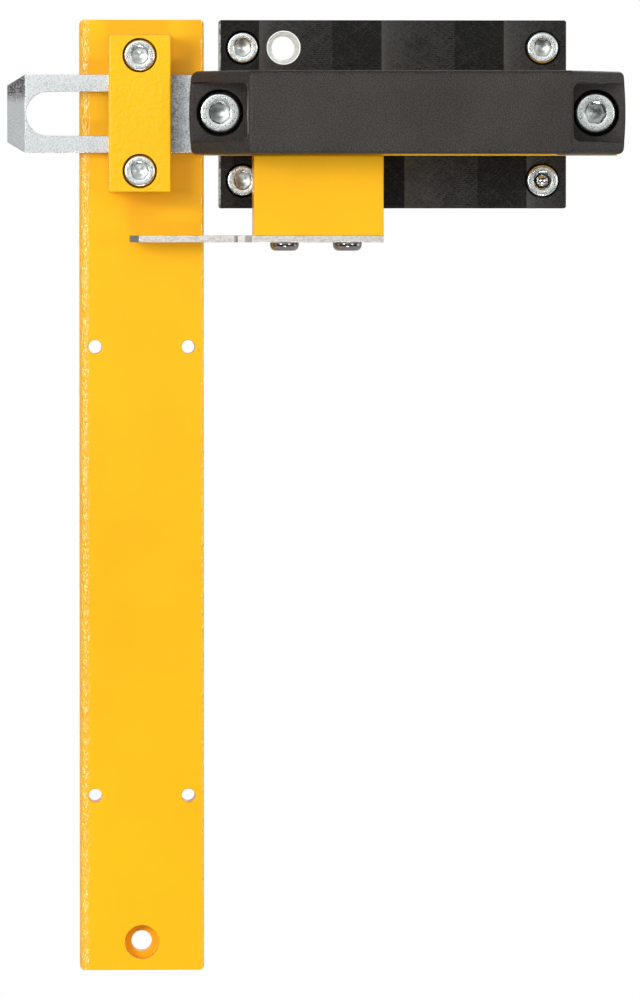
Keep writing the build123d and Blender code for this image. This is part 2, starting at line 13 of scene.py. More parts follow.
import bmesh
import bpy
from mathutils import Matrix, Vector


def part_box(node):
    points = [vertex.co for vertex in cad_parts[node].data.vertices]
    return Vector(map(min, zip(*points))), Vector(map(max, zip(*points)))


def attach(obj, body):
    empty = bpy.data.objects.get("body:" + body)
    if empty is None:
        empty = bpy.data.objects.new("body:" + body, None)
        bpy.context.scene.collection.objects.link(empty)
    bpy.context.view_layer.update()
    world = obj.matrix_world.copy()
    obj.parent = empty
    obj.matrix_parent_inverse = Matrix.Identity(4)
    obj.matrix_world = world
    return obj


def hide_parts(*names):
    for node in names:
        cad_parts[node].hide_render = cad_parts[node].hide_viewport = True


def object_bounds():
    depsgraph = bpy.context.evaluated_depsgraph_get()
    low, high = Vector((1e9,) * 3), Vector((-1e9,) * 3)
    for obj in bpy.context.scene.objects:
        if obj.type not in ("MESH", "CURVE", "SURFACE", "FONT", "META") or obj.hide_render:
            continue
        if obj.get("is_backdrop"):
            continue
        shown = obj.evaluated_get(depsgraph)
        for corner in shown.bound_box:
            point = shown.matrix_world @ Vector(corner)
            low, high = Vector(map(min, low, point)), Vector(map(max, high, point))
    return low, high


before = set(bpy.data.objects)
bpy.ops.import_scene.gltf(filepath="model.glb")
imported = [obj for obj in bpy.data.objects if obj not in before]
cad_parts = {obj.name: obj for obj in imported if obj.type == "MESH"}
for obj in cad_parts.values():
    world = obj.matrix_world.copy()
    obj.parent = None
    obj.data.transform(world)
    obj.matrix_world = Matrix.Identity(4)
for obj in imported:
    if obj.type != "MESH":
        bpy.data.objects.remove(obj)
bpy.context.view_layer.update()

MM = 0.001
MERGE = 0.002 * MM
SAME_PLANE = math.radians(0.5)
FULL_TURN = 2 * math.pi
OWN_PLACE = "own_place"
LOG = logging.getLogger("guard_door_bolt")

Color = tuple[float, float, float]
Place = tuple[float, float, float]
Span = tuple[float, float]
Out = bpy.types.NodeSocket
Feed = bpy.types.NodeSocket | float


class Body(Enum):
    """Bodies that the pieces ride on."""

    POST = "post_side"
    DOOR = "door_side"
    SLIDE = "bolt_slide"


class Slot(Enum):
    """Material slots of the record."""

    YELLOW = "yellow_powder_coat"
    ZINC = "zinc_plate"
    ZINC_SCREW = "zinc_screws"
    HANDLE = "black_handle"
    ANODISED = "black_anodised"
    POLISHED = "polished_steel"
    SHEET = "stainless_sheet"
    BUTTON = "stainless_screws"


class Way(Enum):
    """Where a screw's point looks, as the turn that brings +Y there."""

    BACK = (0.0, 0.0, 0.0)
    FORWARD = (math.pi, 0.0, 0.0)
    UP = (math.pi / 2, 0.0, 0.0)


# ---------------------------------------------------------------------------------------------
# Node trees
# ---------------------------------------------------------------------------------------------


class Sheet:
    """A node tree with short calls for the nodes that materials and meshes share."""

    def __init__(self, tree: bpy.types.NodeTree) -> None:
        """Starts on an empty tree.

        Args:
            tree: The shader or geometry tree to fill.
        """
        self.tree = tree
        self.tree.nodes.clear()

    def node(self, kind: str, **settings: object) -> bpy.types.Node:
        """Adds a node.

        Args:
            kind: The node's type name.
            settings: Its properties.

        Returns:
            The new node.
        """
        made = self.tree.nodes.new(kind)
        for name, value in settings.items():
            setattr(made, name, value)
        return made

    def feed(self, socket: Out, value: object) -> None:
        """Links a socket to another, or sets its value.

        Args:
            socket: The input socket.
            value: An output socket, or a plain value.
        """
        if isinstance(value, bpy.types.NodeSocket):
            self.tree.links.new(value, socket)
        else:
            socket.default_value = value

    def step(self, kind: str, inputs: dict[str, object], **settings: object) -> Out:
        """Adds a node and fills its inputs.

        Args:
            kind: The node's type name.
            inputs: Sockets or plain values, by the inputs' names.
            settings: Its properties.

        Returns:
            The node's first output.
        """
        made = self.node(kind, **settings)
        for name, value in inputs.items():
            self.feed(made.inputs[name], value)
        return made.outputs[0]

    def math(self, operation: str, *values: Feed) -> Out:
        """Works out one operation on numbers.

        Args:
            operation: The Math node's operation.
            values: Sockets or numbers.

        Returns:
            The result's socket.
        """
        made = self.node("ShaderNodeMath", operation=operation)
        for socket, value in zip(made.inputs, values):
            self.feed(socket, value)
        return made.outputs[0]

    def plus(self, *values: Feed) -> Out:
        """Sum of sockets and numbers."""
        return reduce(lambda first, second: self.math("ADD", first, second), values)

    def minus(self, first: Feed, second: Feed) -> Out:
        """The first less the second."""
        return self.math("SUBTRACT", first, second)

    def times(self, *values: Feed) -> Out:
        """Product of sockets and numbers."""
        return reduce(lambda first, second: self.math("MULTIPLY", first, second), values)

    def weighted(self, *parts: tuple[Feed, float]) -> Out:
        """Sum of values, each times its weight."""
        return self.plus(*[self.times(value, weight) for value, weight in parts])

    def wave(self, turns: Feed) -> Out:
        """Sine of a number of whole turns."""
        return self.math("SINE", self.times(turns, FULL_TURN))

    def blend(self, share: Feed, low: Feed, high: Feed) -> Out:
        """Goes from one number, at share 0, to another, at share 1."""
        return self.plus(low, self.times(share, self.minus(high, low)))

    def around(self, radius: Feed, height: Feed, angle: Out) -> Out:
        """Place at an angle about the Y axis, counted from +Z."""
        across = self.times(radius, self.math("SINE", angle))
        return self.join(across, height, self.times(radius, self.math("COSINE", angle)))

    def stretch(self, value: Out, low: float, high: float, bottom: float = 0.0, top: float = 1.0) -> Out:
        """Maps a range of values to another, and holds it there.

        Args:
            value: The socket to map.
            low: Value that gives bottom.
            high: Value that gives top.
            bottom: Result at low.
            top: Result at high.

        Returns:
            The result's socket.
        """
        made = self.node("ShaderNodeMapRange")
        for socket, number in zip(made.inputs, (value, low, high, bottom, top)):
            self.feed(socket, number)
        return made.outputs[0]

    def split(self, vector: Out) -> list[Out]:
        """Takes a vector apart.

        Args:
            vector: The vector's socket.

        Returns:
            X, Y and Z.
        """
        made = self.node("ShaderNodeSeparateXYZ")
        self.feed(made.inputs[0], vector)
        return list(made.outputs)

    def join(self, *values: Feed) -> Out:
        """Vector from up to three numbers.

        Args:
            values: X, Y and Z; what is left out is 0.

        Returns:
            The vector's socket.
        """
        made = self.node("ShaderNodeCombineXYZ")
        for socket, value in zip(made.inputs, values):
            self.feed(socket, value)
        return made.outputs[0]


class ShaderSheet(Sheet):
    """A material's node tree, with the patterns that the finishes share. Patterns lie in object space."""

    def __init__(self, material: bpy.types.Material) -> None:
        """Starts with the shader, its output and the coordinates.

        Args:
            material: The material to fill.
        """
        material.use_nodes = True
        super().__init__(material.node_tree)
        self.shader = self.node("ShaderNodeBsdfPrincipled")
        out = self.node("ShaderNodeOutputMaterial")
        self.feed(out.inputs["Surface"], self.shader.outputs["BSDF"])
        self.place = self.node("ShaderNodeTexCoord").outputs["Object"]
        self.x, self.y, self.z = self.split(self.place)

    def stretched(self, factors: Place, turn: float = 0.0) -> Out:
        """Object coordinates, turned about Y and stretched along the axes.

        Args:
            factors: One factor for each axis.
            turn: The turn, in radians.

        Returns:
            The coordinates' socket.
        """
        turned = self.node("ShaderNodeVectorRotate", rotation_type="Y_AXIS")
        self.feed(turned.inputs["Vector"], self.place)
        turned.inputs["Angle"].default_value = turn
        mapping = self.node("ShaderNodeMapping")
        self.feed(mapping.inputs["Vector"], turned.outputs[0])
        mapping.inputs["Scale"].default_value = factors
        return mapping.outputs[0]

    def own_place(self) -> Out:
        """Place on a turned piece, measured from the top of its own head."""
        return self.node("ShaderNodeAttribute", attribute_name=OWN_PLACE).outputs["Vector"]

    def noise(self, size: float, detail: float = 2.0, place: Out | None = None) -> Out:
        """Noise from 0 to 1.

        Args:
            size: Size of its patches, in metres.
            detail: Octaves.
            place: Coordinates, if not the object's own.

        Returns:
            The noise's socket.
        """
        made = self.node("ShaderNodeTexNoise")
        self.feed(made.inputs["Vector"], place or self.place)
        made.inputs["Scale"].default_value = 1.0 / size
        made.inputs["Detail"].default_value = detail
        return made.outputs["Fac"]

    def patches(self, size: float, detail: float = 2.0, low: float = 0.3, high: float = 0.7) -> Out:
        """Noise whose middle range is stretched, so that its patches go from 0 to 1."""
        return self.stretch(self.noise(size, detail), low, high)

    def tint(self, share: Feed, dark: Color | Out, light: Color | Out) -> Out:
        """Colour between two colours.

        Args:
            share: 0 for dark, 1 for light.
            dark: First colour.
            light: Second colour.

        Returns:
            The colour's socket.
        """
        made = self.node("ShaderNodeMix", data_type="RGBA")
        self.feed(made.inputs["Factor"], share)
        for name, color in (("A", dark), ("B", light)):
            socket = [s for s in made.inputs if s.name == name and s.type == "RGBA"][0]
            self.feed(socket, color if isinstance(color, bpy.types.NodeSocket) else (*color, 1.0))
        return [s for s in made.outputs if s.type == "RGBA"][0]

    def curve(self, value: Out, stops: tuple[Span, ...]) -> Out:
        """Number read from a list of stops.

        Args:
            value: Socket from 0 to 1.
            stops: Pairs of place and grey level.

        Returns:
            The grey level's socket.
        """
        made = self.node("ShaderNodeValToRGB")
        self.feed(made.inputs[0], value)
        elements = made.color_ramp.elements
        while len(elements) < len(stops):
            elements.new(1.0)
        for element, (at, grey) in zip(elements, stops):
            element.position = at
            element.color = (grey, grey, grey, 1.0)
        return made.outputs[0]

    def relief(self, height: Out, depth: float, strength: float = 1.0) -> None:
        """Gives the shader a bumpy surface.

        Args:
            height: Height from 0 to 1.
            depth: Depth of the relief, in metres.
            strength: Share of it that shows.
        """
        made = self.node("ShaderNodeBump")
        made.inputs["Strength"].default_value = strength
        made.inputs["Distance"].default_value = depth
        self.feed(made.inputs["Height"], height)
        self.feed(self.shader.inputs["Normal"], made.outputs[0])

    def wear(self, color: Out, roughness: Feed, metallic: float = 0.0) -> None:
        """Sets the shader's colour and roughness.

        Args:
            color: The colour's socket.
            roughness: Number or socket.
            metallic: 1 for bare metal.
        """
        self.feed(self.shader.inputs["Base Color"], color)
        self.feed(self.shader.inputs["Roughness"], roughness)
        self.shader.inputs["Metallic"].default_value = metallic

    def gloss(self, level: Feed) -> None:
        """Sets how strongly a coat mirrors."""
        self.feed(self.shader.inputs["Specular IOR Level"], level)


# ---------------------------------------------------------------------------------------------
# Finishes
# ---------------------------------------------------------------------------------------------


@dataclass(frozen=True)
class Finish:
    """A surface finish; each kind draws its own node tree. Tones are factors of its colour."""

    name: str
    color: Color
    roughness: float = 0.3
    tones: Span = (0.95, 1.04)

    def draw(self, sheet: ShaderSheet) -> None:
        """Fills the sheet."""
        raise NotImplementedError

    def material(self) -> bpy.types.Material:
        """The finish's material, made the first time that it is asked for.

        Returns:
            The material.
        """
        made = bpy.data.materials.get(self.name)
        if made is None:
            made = bpy.data.materials.new(self.name)
            self.draw(ShaderSheet(made))
        return made

    def shade(self, factor: float) -> Color:
        """The finish's colour, made lighter or darker."""
        return tuple(min(1.0, part * factor) for part in self.color)

    def toned(self, sheet: ShaderSheet, share: Feed, tones: Span | None = None) -> Out:
        """The finish's colour, from its dark tone at share 0 to its light tone at share 1."""
        dark, light = tones or self.tones
        return sheet.tint(share, self.shade(dark), self.shade(light))


@dataclass(frozen=True)
class PowderCoat(Finish):
    """Satin powder coat with an orange peel; along the front's long edges the peel is coarse and glossy.

    edges holds the left and right edge's X and the front's Y, where a piece has that coarse peel.
    """

    roughness: float = 0.26
    gloss: float = 0.32
    cloud: float = 28 * MM
    grain: float = 0.25 * MM
    peel: float = 1.5 * MM
    peel_depth: float = 0.035 * MM
    edges: tuple[float, float, float] | None = None
    edge_gloss: float = 1.0
    dent: float = 1.1 * MM
    dent_depth: float = 0.85 * MM
    dent_mean: float = 0.42
    left_reach: float = 3.8 * MM
    right_reach: float = 0.9 * MM
    side_reach: float = 2.6 * MM

    def draw(self, sheet: ShaderSheet) -> None:
        """Fills the sheet with cloudy colour, fine grain and the peel.

        Args:
            sheet: The sheet to draw on.
        """
        grain = sheet.noise(self.grain)
        share = sheet.weighted((sheet.patches(self.cloud, 3.0), 0.7), (grain, 0.3))
        rough = sheet.stretch(grain, 0.3, 0.7, self.roughness - 0.06, self.roughness + 0.08)
        sheet.wear(self.toned(sheet, share), rough)
        sheet.gloss(self.gloss)
        height = sheet.plus(sheet.noise(self.peel, 1.5), sheet.times(grain, 0.1))
        if self.edges:
            near = self.near_edges(sheet)
            dents = sheet.minus(sheet.noise(self.dent, 2.0, sheet.stretched((1.0, 1.0, 0.5))), self.dent_mean)
            height = sheet.plus(height, sheet.times(near, dents, self.dent_depth / self.peel_depth))
            sheet.gloss(sheet.blend(near, self.gloss, self.edge_gloss))
        sheet.relief(height, self.peel_depth)

    def near_edges(self, sheet: ShaderSheet) -> Out:
        """Share of the coarse peel: 1 on the long edges, 0 on the face.

        Args:
            sheet: The sheet to draw on.

        Returns:
            The share's socket.
        """
        left, right, front = self.edges
        on_left = sheet.stretch(sheet.x, left + self.left_reach, left + self.left_reach / 2)
        on_right = sheet.stretch(sheet.x, right - self.right_reach, right - self.right_reach / 2)
        on_front = sheet.stretch(sheet.y, front + self.side_reach, front + self.side_reach / 3)
        return sheet.times(sheet.math("MAXIMUM", on_left, on_right), on_front)


@dataclass(frozen=True)
class GrainedCoat(Finish):
    """Matt textured coat with a fine light grain."""

    roughness: float = 0.48
    tones: Span = (0.25, 2.1)
    gloss: float = 0.28
    grain: float = 0.37 * MM
    cloud: float = 22 * MM
    depth: float = 0.05 * MM

    def draw(self, sheet: ShaderSheet) -> None:
        """Fills the sheet with grain over slow cloudy colour.

        Args:
            sheet: The sheet to draw on.
        """
        fine = sheet.patches(self.grain, 3.0, 0.38, 0.66)
        share = sheet.weighted((fine, 0.8), (sheet.patches(self.cloud), 0.2))
        rough = sheet.stretch(fine, 0.0, 1.0, self.roughness + 0.1, self.roughness - 0.06)
        sheet.wear(self.toned(sheet, share), rough)
        sheet.gloss(self.gloss)
        sheet.relief(fine, self.depth, 0.6)


@dataclass(frozen=True)
class SpeckledZinc(Finish):
    """Zinc plating with a fine dark speckle."""

    tones: Span = (0.5, 1.06)
    speckle: float = 0.5 * MM
    cloud: float = 9 * MM
    depth: float = 0.012 * MM

    def flecks(self, sheet: ShaderSheet) -> Out:
        """Speckle from 0, dark, to 1, light."""
        fine = sheet.patches(self.speckle, 4.0, 0.34, 0.6)
        return sheet.weighted((fine, 0.8), (sheet.patches(self.cloud), 0.2))

    def plate(self, sheet: ShaderSheet, color: Out, flecks: Out, height: Out) -> None:
        """Sets metal that is glossier where it is light.

        Args:
            sheet: The sheet to draw on.
            color: Its colour.
            flecks: Its speckle.
            height: Its relief.
        """
        rough = sheet.stretch(flecks, 0.0, 1.0, self.roughness + 0.12, self.roughness - 0.04)
        sheet.wear(color, rough, 1.0)
        sheet.relief(height, self.depth, 0.6)

    def draw(self, sheet: ShaderSheet) -> None:
        """Fills the sheet with speckled metal."""
        flecks = self.flecks(sheet)
        self.plate(sheet, self.toned(sheet, flecks), flecks, flecks)


@dataclass(frozen=True)
class GroundZinc(SpeckledZinc):
    """Zinc plating on the bolt: a ground ramp at its tip with a painted dark reflection at its top, and
    painted shadow of the guide block on the flat.
    """

    ramp_end_x: float = -37.5 * MM
    ramp_tones: Span = (0.68, 0.86)
    ramp_line: float = 0.45 * MM
    # Painted dark reflection at the ramp's top: its span along Z, the sway of its edge and its greys.
    dark_reflection_z: Span = (4.1 * MM, 7.7 * MM)
    dark_reflection_sway: float = 1.6 * MM
    dark_reflection_greys: Span = (0.06, 0.36)
    # Painted shadow of the guide block on the bolt's flat: its span along X and its tones.
    block_shadow_x: Span = (8.0 * MM, 17.0 * MM)
    block_shadow_tones: Span = (0.08, 0.5)

    def draw(self, sheet: ShaderSheet) -> None:
        """Fills the sheet with speckle on the flat, brush lines on the ramp, the painted dark reflection at
        the ramp's top and the painted shadow of the guide block.

        Args:
            sheet: The sheet to draw on.
        """
        flecks = self.flecks(sheet)
        ramp = sheet.stretch(sheet.x, self.ramp_end_x + 0.1 * MM, self.ramp_end_x - 0.1 * MM)
        lines = sheet.noise(self.ramp_line, 3.0, sheet.stretched((1.0, 1.0, 0.04)))
        brushed = self.toned(sheet, lines, self.ramp_tones)
        # Painted shadow of the guide block: the flat is darkest next to the block and clears towards the
        # handle.
        start, end = self.block_shadow_x
        block_shadow = sheet.times(sheet.stretch(sheet.x, end, start), sheet.math("GREATER_THAN", sheet.x, 0.0))
        flat = sheet.tint(block_shadow, self.toned(sheet, flecks), self.toned(sheet, flecks, self.block_shadow_tones))
        # Painted dark reflection over the top of the ramp.
        color = sheet.tint(self.dark_reflection(sheet, ramp), sheet.tint(ramp, flat, brushed), self.dark_reflection_mottle(sheet))
        self.plate(sheet, color, flecks, sheet.blend(ramp, flecks, lines))

    def dark_reflection(self, sheet: ShaderSheet, ramp: Out) -> Out:
        """Share of the painted dark reflection, which fades in up the ramp."""
        edge = sheet.plus(sheet.z, sheet.times(sheet.noise(1.2 * MM), self.dark_reflection_sway))
        return sheet.times(ramp, sheet.stretch(edge, *self.dark_reflection_z))

    def dark_reflection_mottle(self, sheet: ShaderSheet) -> Out:
        """Mottled dark grey of the painted reflection."""
        dark, light = [(grey, grey, grey) for grey in self.dark_reflection_greys]
        return sheet.tint(sheet.patches(0.5 * MM, 3.0, 0.35, 0.65), dark, light)


@dataclass(frozen=True)
class BrightZinc(Finish):
    """Bright zinc on cold-headed screws: turned rings, small dents, a ring of worn forging strokes and
    painted shade deep in the socket.
    """

    roughness: float = 0.2
    tones: Span = (0.9, 1.06)
    dents: float = 1.4 * MM
    grain: float = 0.3 * MM
    rings: float = 0.45 * MM
    depth: float = 0.009 * MM
    strokes_r: float = 0.0
    strokes_w: float = 0.5 * MM
    strokes_depth: float = 0.4 * MM
    strokes_tone: float = 0.45
    # Painted shade in the socket: where it starts and ends in depth, and its tone.
    socket_y: Span = (0.3 * MM, 2.0 * MM)
    socket_shade_tone: float = 0.6
    socket_haze: float = 0.2

    def strokes(self, sheet: ShaderSheet, own: list[Out], reach: Out) -> Out:
        """Short strokes in a ring on the head's face.

        Args:
            sheet: The sheet to draw on.
            own: X, Y and Z on the screw.
            reach: Distance from its axis.

        Returns:
            1 in a stroke, 0 elsewhere.
        """
        angle = sheet.math("ARCTAN2", own[0], own[2])
        polar = sheet.join(sheet.times(angle, 9.0 * MM), sheet.times(reach, 1.6))
        pattern = sheet.stretch(sheet.noise(1.0 * MM, 2.0, polar), 0.56, 0.6)
        off = sheet.math("ABSOLUTE", sheet.minus(reach, self.strokes_r))
        ring = sheet.stretch(off, self.strokes_w, self.strokes_w - 0.15 * MM)
        return sheet.times(ring, pattern, sheet.math("LESS_THAN", own[1], self.strokes_depth))

    def draw(self, sheet: ShaderSheet) -> None:
        """Fills the sheet with bright metal, its rings, dents and strokes, and the painted shade in the
        socket.

        Args:
            sheet: The sheet to draw on.
        """
        own = sheet.split(sheet.own_place())
        reach = sheet.math("SQRT", sheet.plus(sheet.times(own[0], own[0]), sheet.times(own[2], own[2])))
        dents = sheet.noise(self.dents, 3.0)
        grain = sheet.noise(self.grain)
        deep = sheet.stretch(own[1], *self.socket_y)
        color = self.toned(sheet, sheet.stretch(grain, 0.3, 0.62))
        # Painted shade: the colour darkens deeper in the socket.
        color = sheet.tint(deep, color, self.shade(self.socket_shade_tone))
        wave = sheet.wave(sheet.times(reach, 1.0 / self.rings))
        height = sheet.weighted((dents, 1.0), (grain, 0.3), (wave, 0.2))
        if self.strokes_r:
            strokes = self.strokes(sheet, own, reach)
            color = sheet.tint(strokes, color, self.shade(self.strokes_tone))
            height = sheet.minus(height, sheet.times(strokes, 2.0))
        rough = sheet.stretch(dents, 0.3, 0.7, self.roughness - 0.06, self.roughness + 0.12)
        sheet.wear(color, sheet.plus(rough, sheet.times(deep, self.socket_haze)), 1.0)
        sheet.relief(sheet.times(height, sheet.minus(1.0, deep)), self.depth, 0.8)


@dataclass(frozen=True)
class MilledAnodised(Finish):
    """Black anodised aluminium, face-milled in passes that overlap: arcs, crossed scratches and a light
    patchy left edge, partly worn bare and partly a painted highlight.

    band holds the tone across one pass; worn_and_lit_corner holds the left edge's X and the front's Y.
    """

    roughness: float = 0.42
    tones: Span = (0.12, 2.9)
    gloss: float = 0.14
    first_pass_x: float = 37.9 * MM
    pass_width: float = 39.45 * MM
    lower_shift: float = 7.4 * MM
    band: tuple[Span, ...] = (
        (0.0, 0.95), (0.08, 0.6), (0.3, 0.36), (0.595, 0.27), (0.605, 0.08), (0.97, 0.06), (1.0, 0.06),
    )
    cutter_r: float = 31.0 * MM
    arc_pitch: float = 0.7 * MM
    grain: float = 0.45 * MM
    cloud: float = 7 * MM
    depth: float = 0.012 * MM
    # Light patchy left edge: partly worn bare metal, partly a painted highlight of the edge.
    worn_and_lit_corner: Span = (0.0, 0.0)
    worn_and_highlight_color: Color = (0.72, 0.72, 0.7)

    def draw(self, sheet: ShaderSheet) -> None:
        """Fills the sheet with the cutter's passes, their arcs, scratches and a fine grain.

        Args:
            sheet: The sheet to draw on.
        """
        share = self.across_pass(sheet)
        grain = sheet.patches(self.grain, 3.0, 0.32, 0.68)
        arcs = self.arcs(sheet, share)
        tone = sheet.curve(share, self.band)
        cloud = sheet.noise(self.cloud, 3.0)
        for part, weight in ((grain, 0.42), (cloud, 0.35), (arcs, 0.2), (self.scratches(sheet), 0.3)):
            tone = sheet.plus(tone, sheet.times(sheet.minus(part, 0.5), weight))
        color = self.toned(sheet, sheet.math("MAXIMUM", tone, 0.0))
        # Light patchy left edge: worn bare metal and a painted highlight.
        color = sheet.tint(self.worn_edge_and_highlight(sheet), color, self.worn_and_highlight_color)
        sheet.wear(color, sheet.stretch(grain, 0.0, 1.0, self.roughness - 0.05, self.roughness + 0.07))
        sheet.gloss(self.gloss)
        sheet.relief(sheet.plus(arcs, sheet.times(grain, 0.5)), self.depth, 0.5)

    def across_pass(self, sheet: ShaderSheet) -> Out:
        """Place across the cutter's pass, from 0 to 1; the lower row of passes is shifted.

        Args:
            sheet: The sheet to draw on.

        Returns:
            The place's socket.
        """
        lower = sheet.math("LESS_THAN", sheet.z, 0.0)
        start = sheet.plus(sheet.times(lower, self.lower_shift), self.first_pass_x - 8 * self.pass_width)
        return sheet.math("FRACT", sheet.math("DIVIDE", sheet.minus(sheet.x, start), self.pass_width))

    def arcs(self, sheet: ShaderSheet, share: Out) -> Out:
        """Cutter marks: arcs about a centre that travels along Z.

        Args:
            sheet: The sheet to draw on.
            share: Place across the pass, from 0 to 1.

        Returns:
            Height of the marks, from 0 to 1.
        """
        across = sheet.times(sheet.minus(share, 0.5), self.pass_width)
        sag = sheet.math("SQRT", sheet.minus(self.cutter_r ** 2, sheet.math("POWER", across, 2.0)))
        sway = sheet.times(sheet.noise(4 * MM), 1.5 * MM)
        wave = sheet.wave(sheet.times(sheet.plus(sheet.z, sag, sway), 1.0 / self.arc_pitch))
        return sheet.plus(sheet.times(wave, 0.5), 0.5)

    def scratches(self, sheet: ShaderSheet) -> Out:
        """Two families of fine scratches that cross, 0.5 on average."""
        made = [sheet.noise(0.35 * MM, 2.0, sheet.stretched((0.07, 1.0, 1.0), turn)) for turn in (0.7, -0.6)]
        return sheet.stretch(sheet.math("MAXIMUM", *made), 0.42, 0.72)

    def worn_edge_and_highlight(self, sheet: ShaderSheet) -> Out:
        """Patchy light line along the front's left edge: metal worn bare, and a painted highlight of the
        edge.

        Args:
            sheet: The sheet to draw on.

        Returns:
            1 where the worn metal and the painted highlight show.
        """
        left, front = self.worn_and_lit_corner
        edge = sheet.minus(sheet.x, sheet.times(sheet.noise(0.8 * MM, 3.0), 0.5 * MM))
        on_left = sheet.stretch(edge, left + 0.3 * MM, left - 0.05 * MM)
        on_front = sheet.stretch(sheet.y, front + 0.6 * MM, front + 0.3 * MM)
        gaps = sheet.stretch(sheet.noise(2 * MM), 0.35, 0.55, 0.3, 1.0)
        return sheet.times(on_left, on_front, gaps)


@dataclass(frozen=True)
class ShearedSheet(Finish):
    """Stainless sheet with streaky cut edges, painted shade on its bevelled tip, and a notch beside the flag
    drawn in colour: a brown line, a painted highlight and a painted shadow in its recess.

    marks holds the stretches along X that differ, and their colours: the tip's painted shade, then the
    notch's brown line, painted highlight and painted shadow.
    """

    roughness: float = 0.34
    burnt: Color = (0.46, 0.41, 0.36)
    light_tone: float = 1.06
    # Painted shade on the tip; the notch's brown line, painted highlight and painted shadow.
    marks: tuple[tuple[float, float, Color], ...] = (
        (-1.0, -1.3 * MM, (0.345, 0.335, 0.3225)),
        (29.7 * MM, 30.5 * MM, (0.4, 0.3, 0.22)),
        (30.5 * MM, 32.8 * MM, (0.7728, 0.7504, 0.7224)),
        (32.8 * MM, 35.2 * MM, (0.3795, 0.3685, 0.35475)),
    )
    mark_edge: float = 0.15 * MM
    depth: float = 0.06 * MM

    def within(self, sheet: ShaderSheet, first: float, last: float) -> Out:
        """1 between two places along X, 0 elsewhere, with soft edges."""
        starts = sheet.stretch(sheet.x, first, first + self.mark_edge)
        return sheet.times(starts, sheet.stretch(sheet.x, last, last - self.mark_edge))

    def draw(self, sheet: ShaderSheet) -> None:
        """Fills the sheet with streaks along X, the painted shade of the tip and the notch's line, painted
        highlight and painted shadow.

        Args:
            sheet: The sheet to draw on.
        """
        streaks = sheet.noise(0.5 * MM, 4.0, sheet.stretched((0.22, 1.0, 1.0)))
        lines = sheet.weighted((streaks, 0.6), (sheet.noise(0.7 * MM, 3.0), 0.4))
        share = sheet.stretch(lines, 0.38, 0.58)
        color = sheet.tint(share, self.burnt, self.shade(self.light_tone))
        # Paints the tip's shade and the notch's line, highlight and shadow along X.
        for first, last, other in self.marks:
            color = sheet.tint(self.within(sheet, first, last), color, other)
        sheet.wear(color, sheet.stretch(share, 0.0, 1.0, self.roughness + 0.14, self.roughness), 1.0)
        sheet.relief(lines, self.depth, 0.6)


@dataclass(frozen=True)
class PolishedSteel(Finish):
    """Polished steel with faint scratches."""

    roughness: float = 0.08
    tones: Span = (0.92, 1.05)
    haze: float = 1.6 * MM
    line: float = 0.2 * MM
    depth: float = 0.003 * MM

    def draw(self, sheet: ShaderSheet) -> None:
        """Fills the sheet with gloss that varies a little.

        Args:
            sheet: The sheet to draw on.
        """
        haze = sheet.noise(self.haze, 3.0)
        rough = sheet.stretch(haze, 0.3, 0.7, self.roughness, self.roughness + 0.08)
        sheet.wear(self.toned(sheet, haze), rough, 1.0)
        sheet.relief(sheet.noise(self.line, 2.0, sheet.stretched((1.0, 0.15, 1.0))), self.depth, 0.4)


YELLOW = (0.95, 0.475, 0.001)
YELLOW_COAT = PowderCoat("yellow_powder_coat_satin", YELLOW)
BLOCK_COAT = PowderCoat("yellow_powder_coat_block", YELLOW, peel_depth=0.23 * MM)
HANDLE_COAT = GrainedCoat("black_grained_coat", (0.0255, 0.021, 0.0175))
BOLT_ZINC = GroundZinc("zinc_on_ground_bolt", (0.79, 0.83, 0.84))
PLATED_ZINC = SpeckledZinc("zinc_plate_speckled", (0.78, 0.82, 0.82))
SCREW_ZINC = BrightZinc("bright_zinc_screw", (0.78, 0.82, 0.81))
M6_ZINC = BrightZinc("bright_zinc_m6_screw", (0.78, 0.82, 0.80), strokes_r=3.85 * MM)
M8_ZINC = BrightZinc("bright_zinc_m8_screw", (0.76, 0.81, 0.80), strokes_r=4.9 * MM, strokes_w=0.6 * MM)
BUSH_ZINC = SpeckledZinc("zinc_plate_bush", (0.94, 0.98, 0.94), roughness=0.6, tones=(0.9, 1.06))
PLATE_BLACK = (0.024, 0.023, 0.0215)
TAG_STEEL = ShearedSheet("stainless_sheared_sheet", (0.69, 0.67, 0.645))
BALL_STEEL = PolishedSteel("polished_bearing_steel", (0.74, 0.71, 0.69))
BUTTON_STEEL = PolishedSteel("stainless_button_screw", (0.3, 0.28, 0.275), roughness=0.1)
SPRING_STEEL = PolishedSteel("spring_steel_wire", (0.62, 0.62, 0.62), roughness=0.2)


# ---------------------------------------------------------------------------------------------
# Meshes
# ---------------------------------------------------------------------------------------------


def link_mesh(name: str, mesh: bpy.types.Mesh) -> bpy.types.Object:
    """Puts a mesh in the scene as an object at the origin.

    Args:
        name: The object's name.
        mesh: Its mesh.

    Returns:
        The object.
    """
    mesh.name = name
    made = bpy.data.objects.new(name, mesh)
    bpy.context.scene.collection.objects.link(made)
    return made


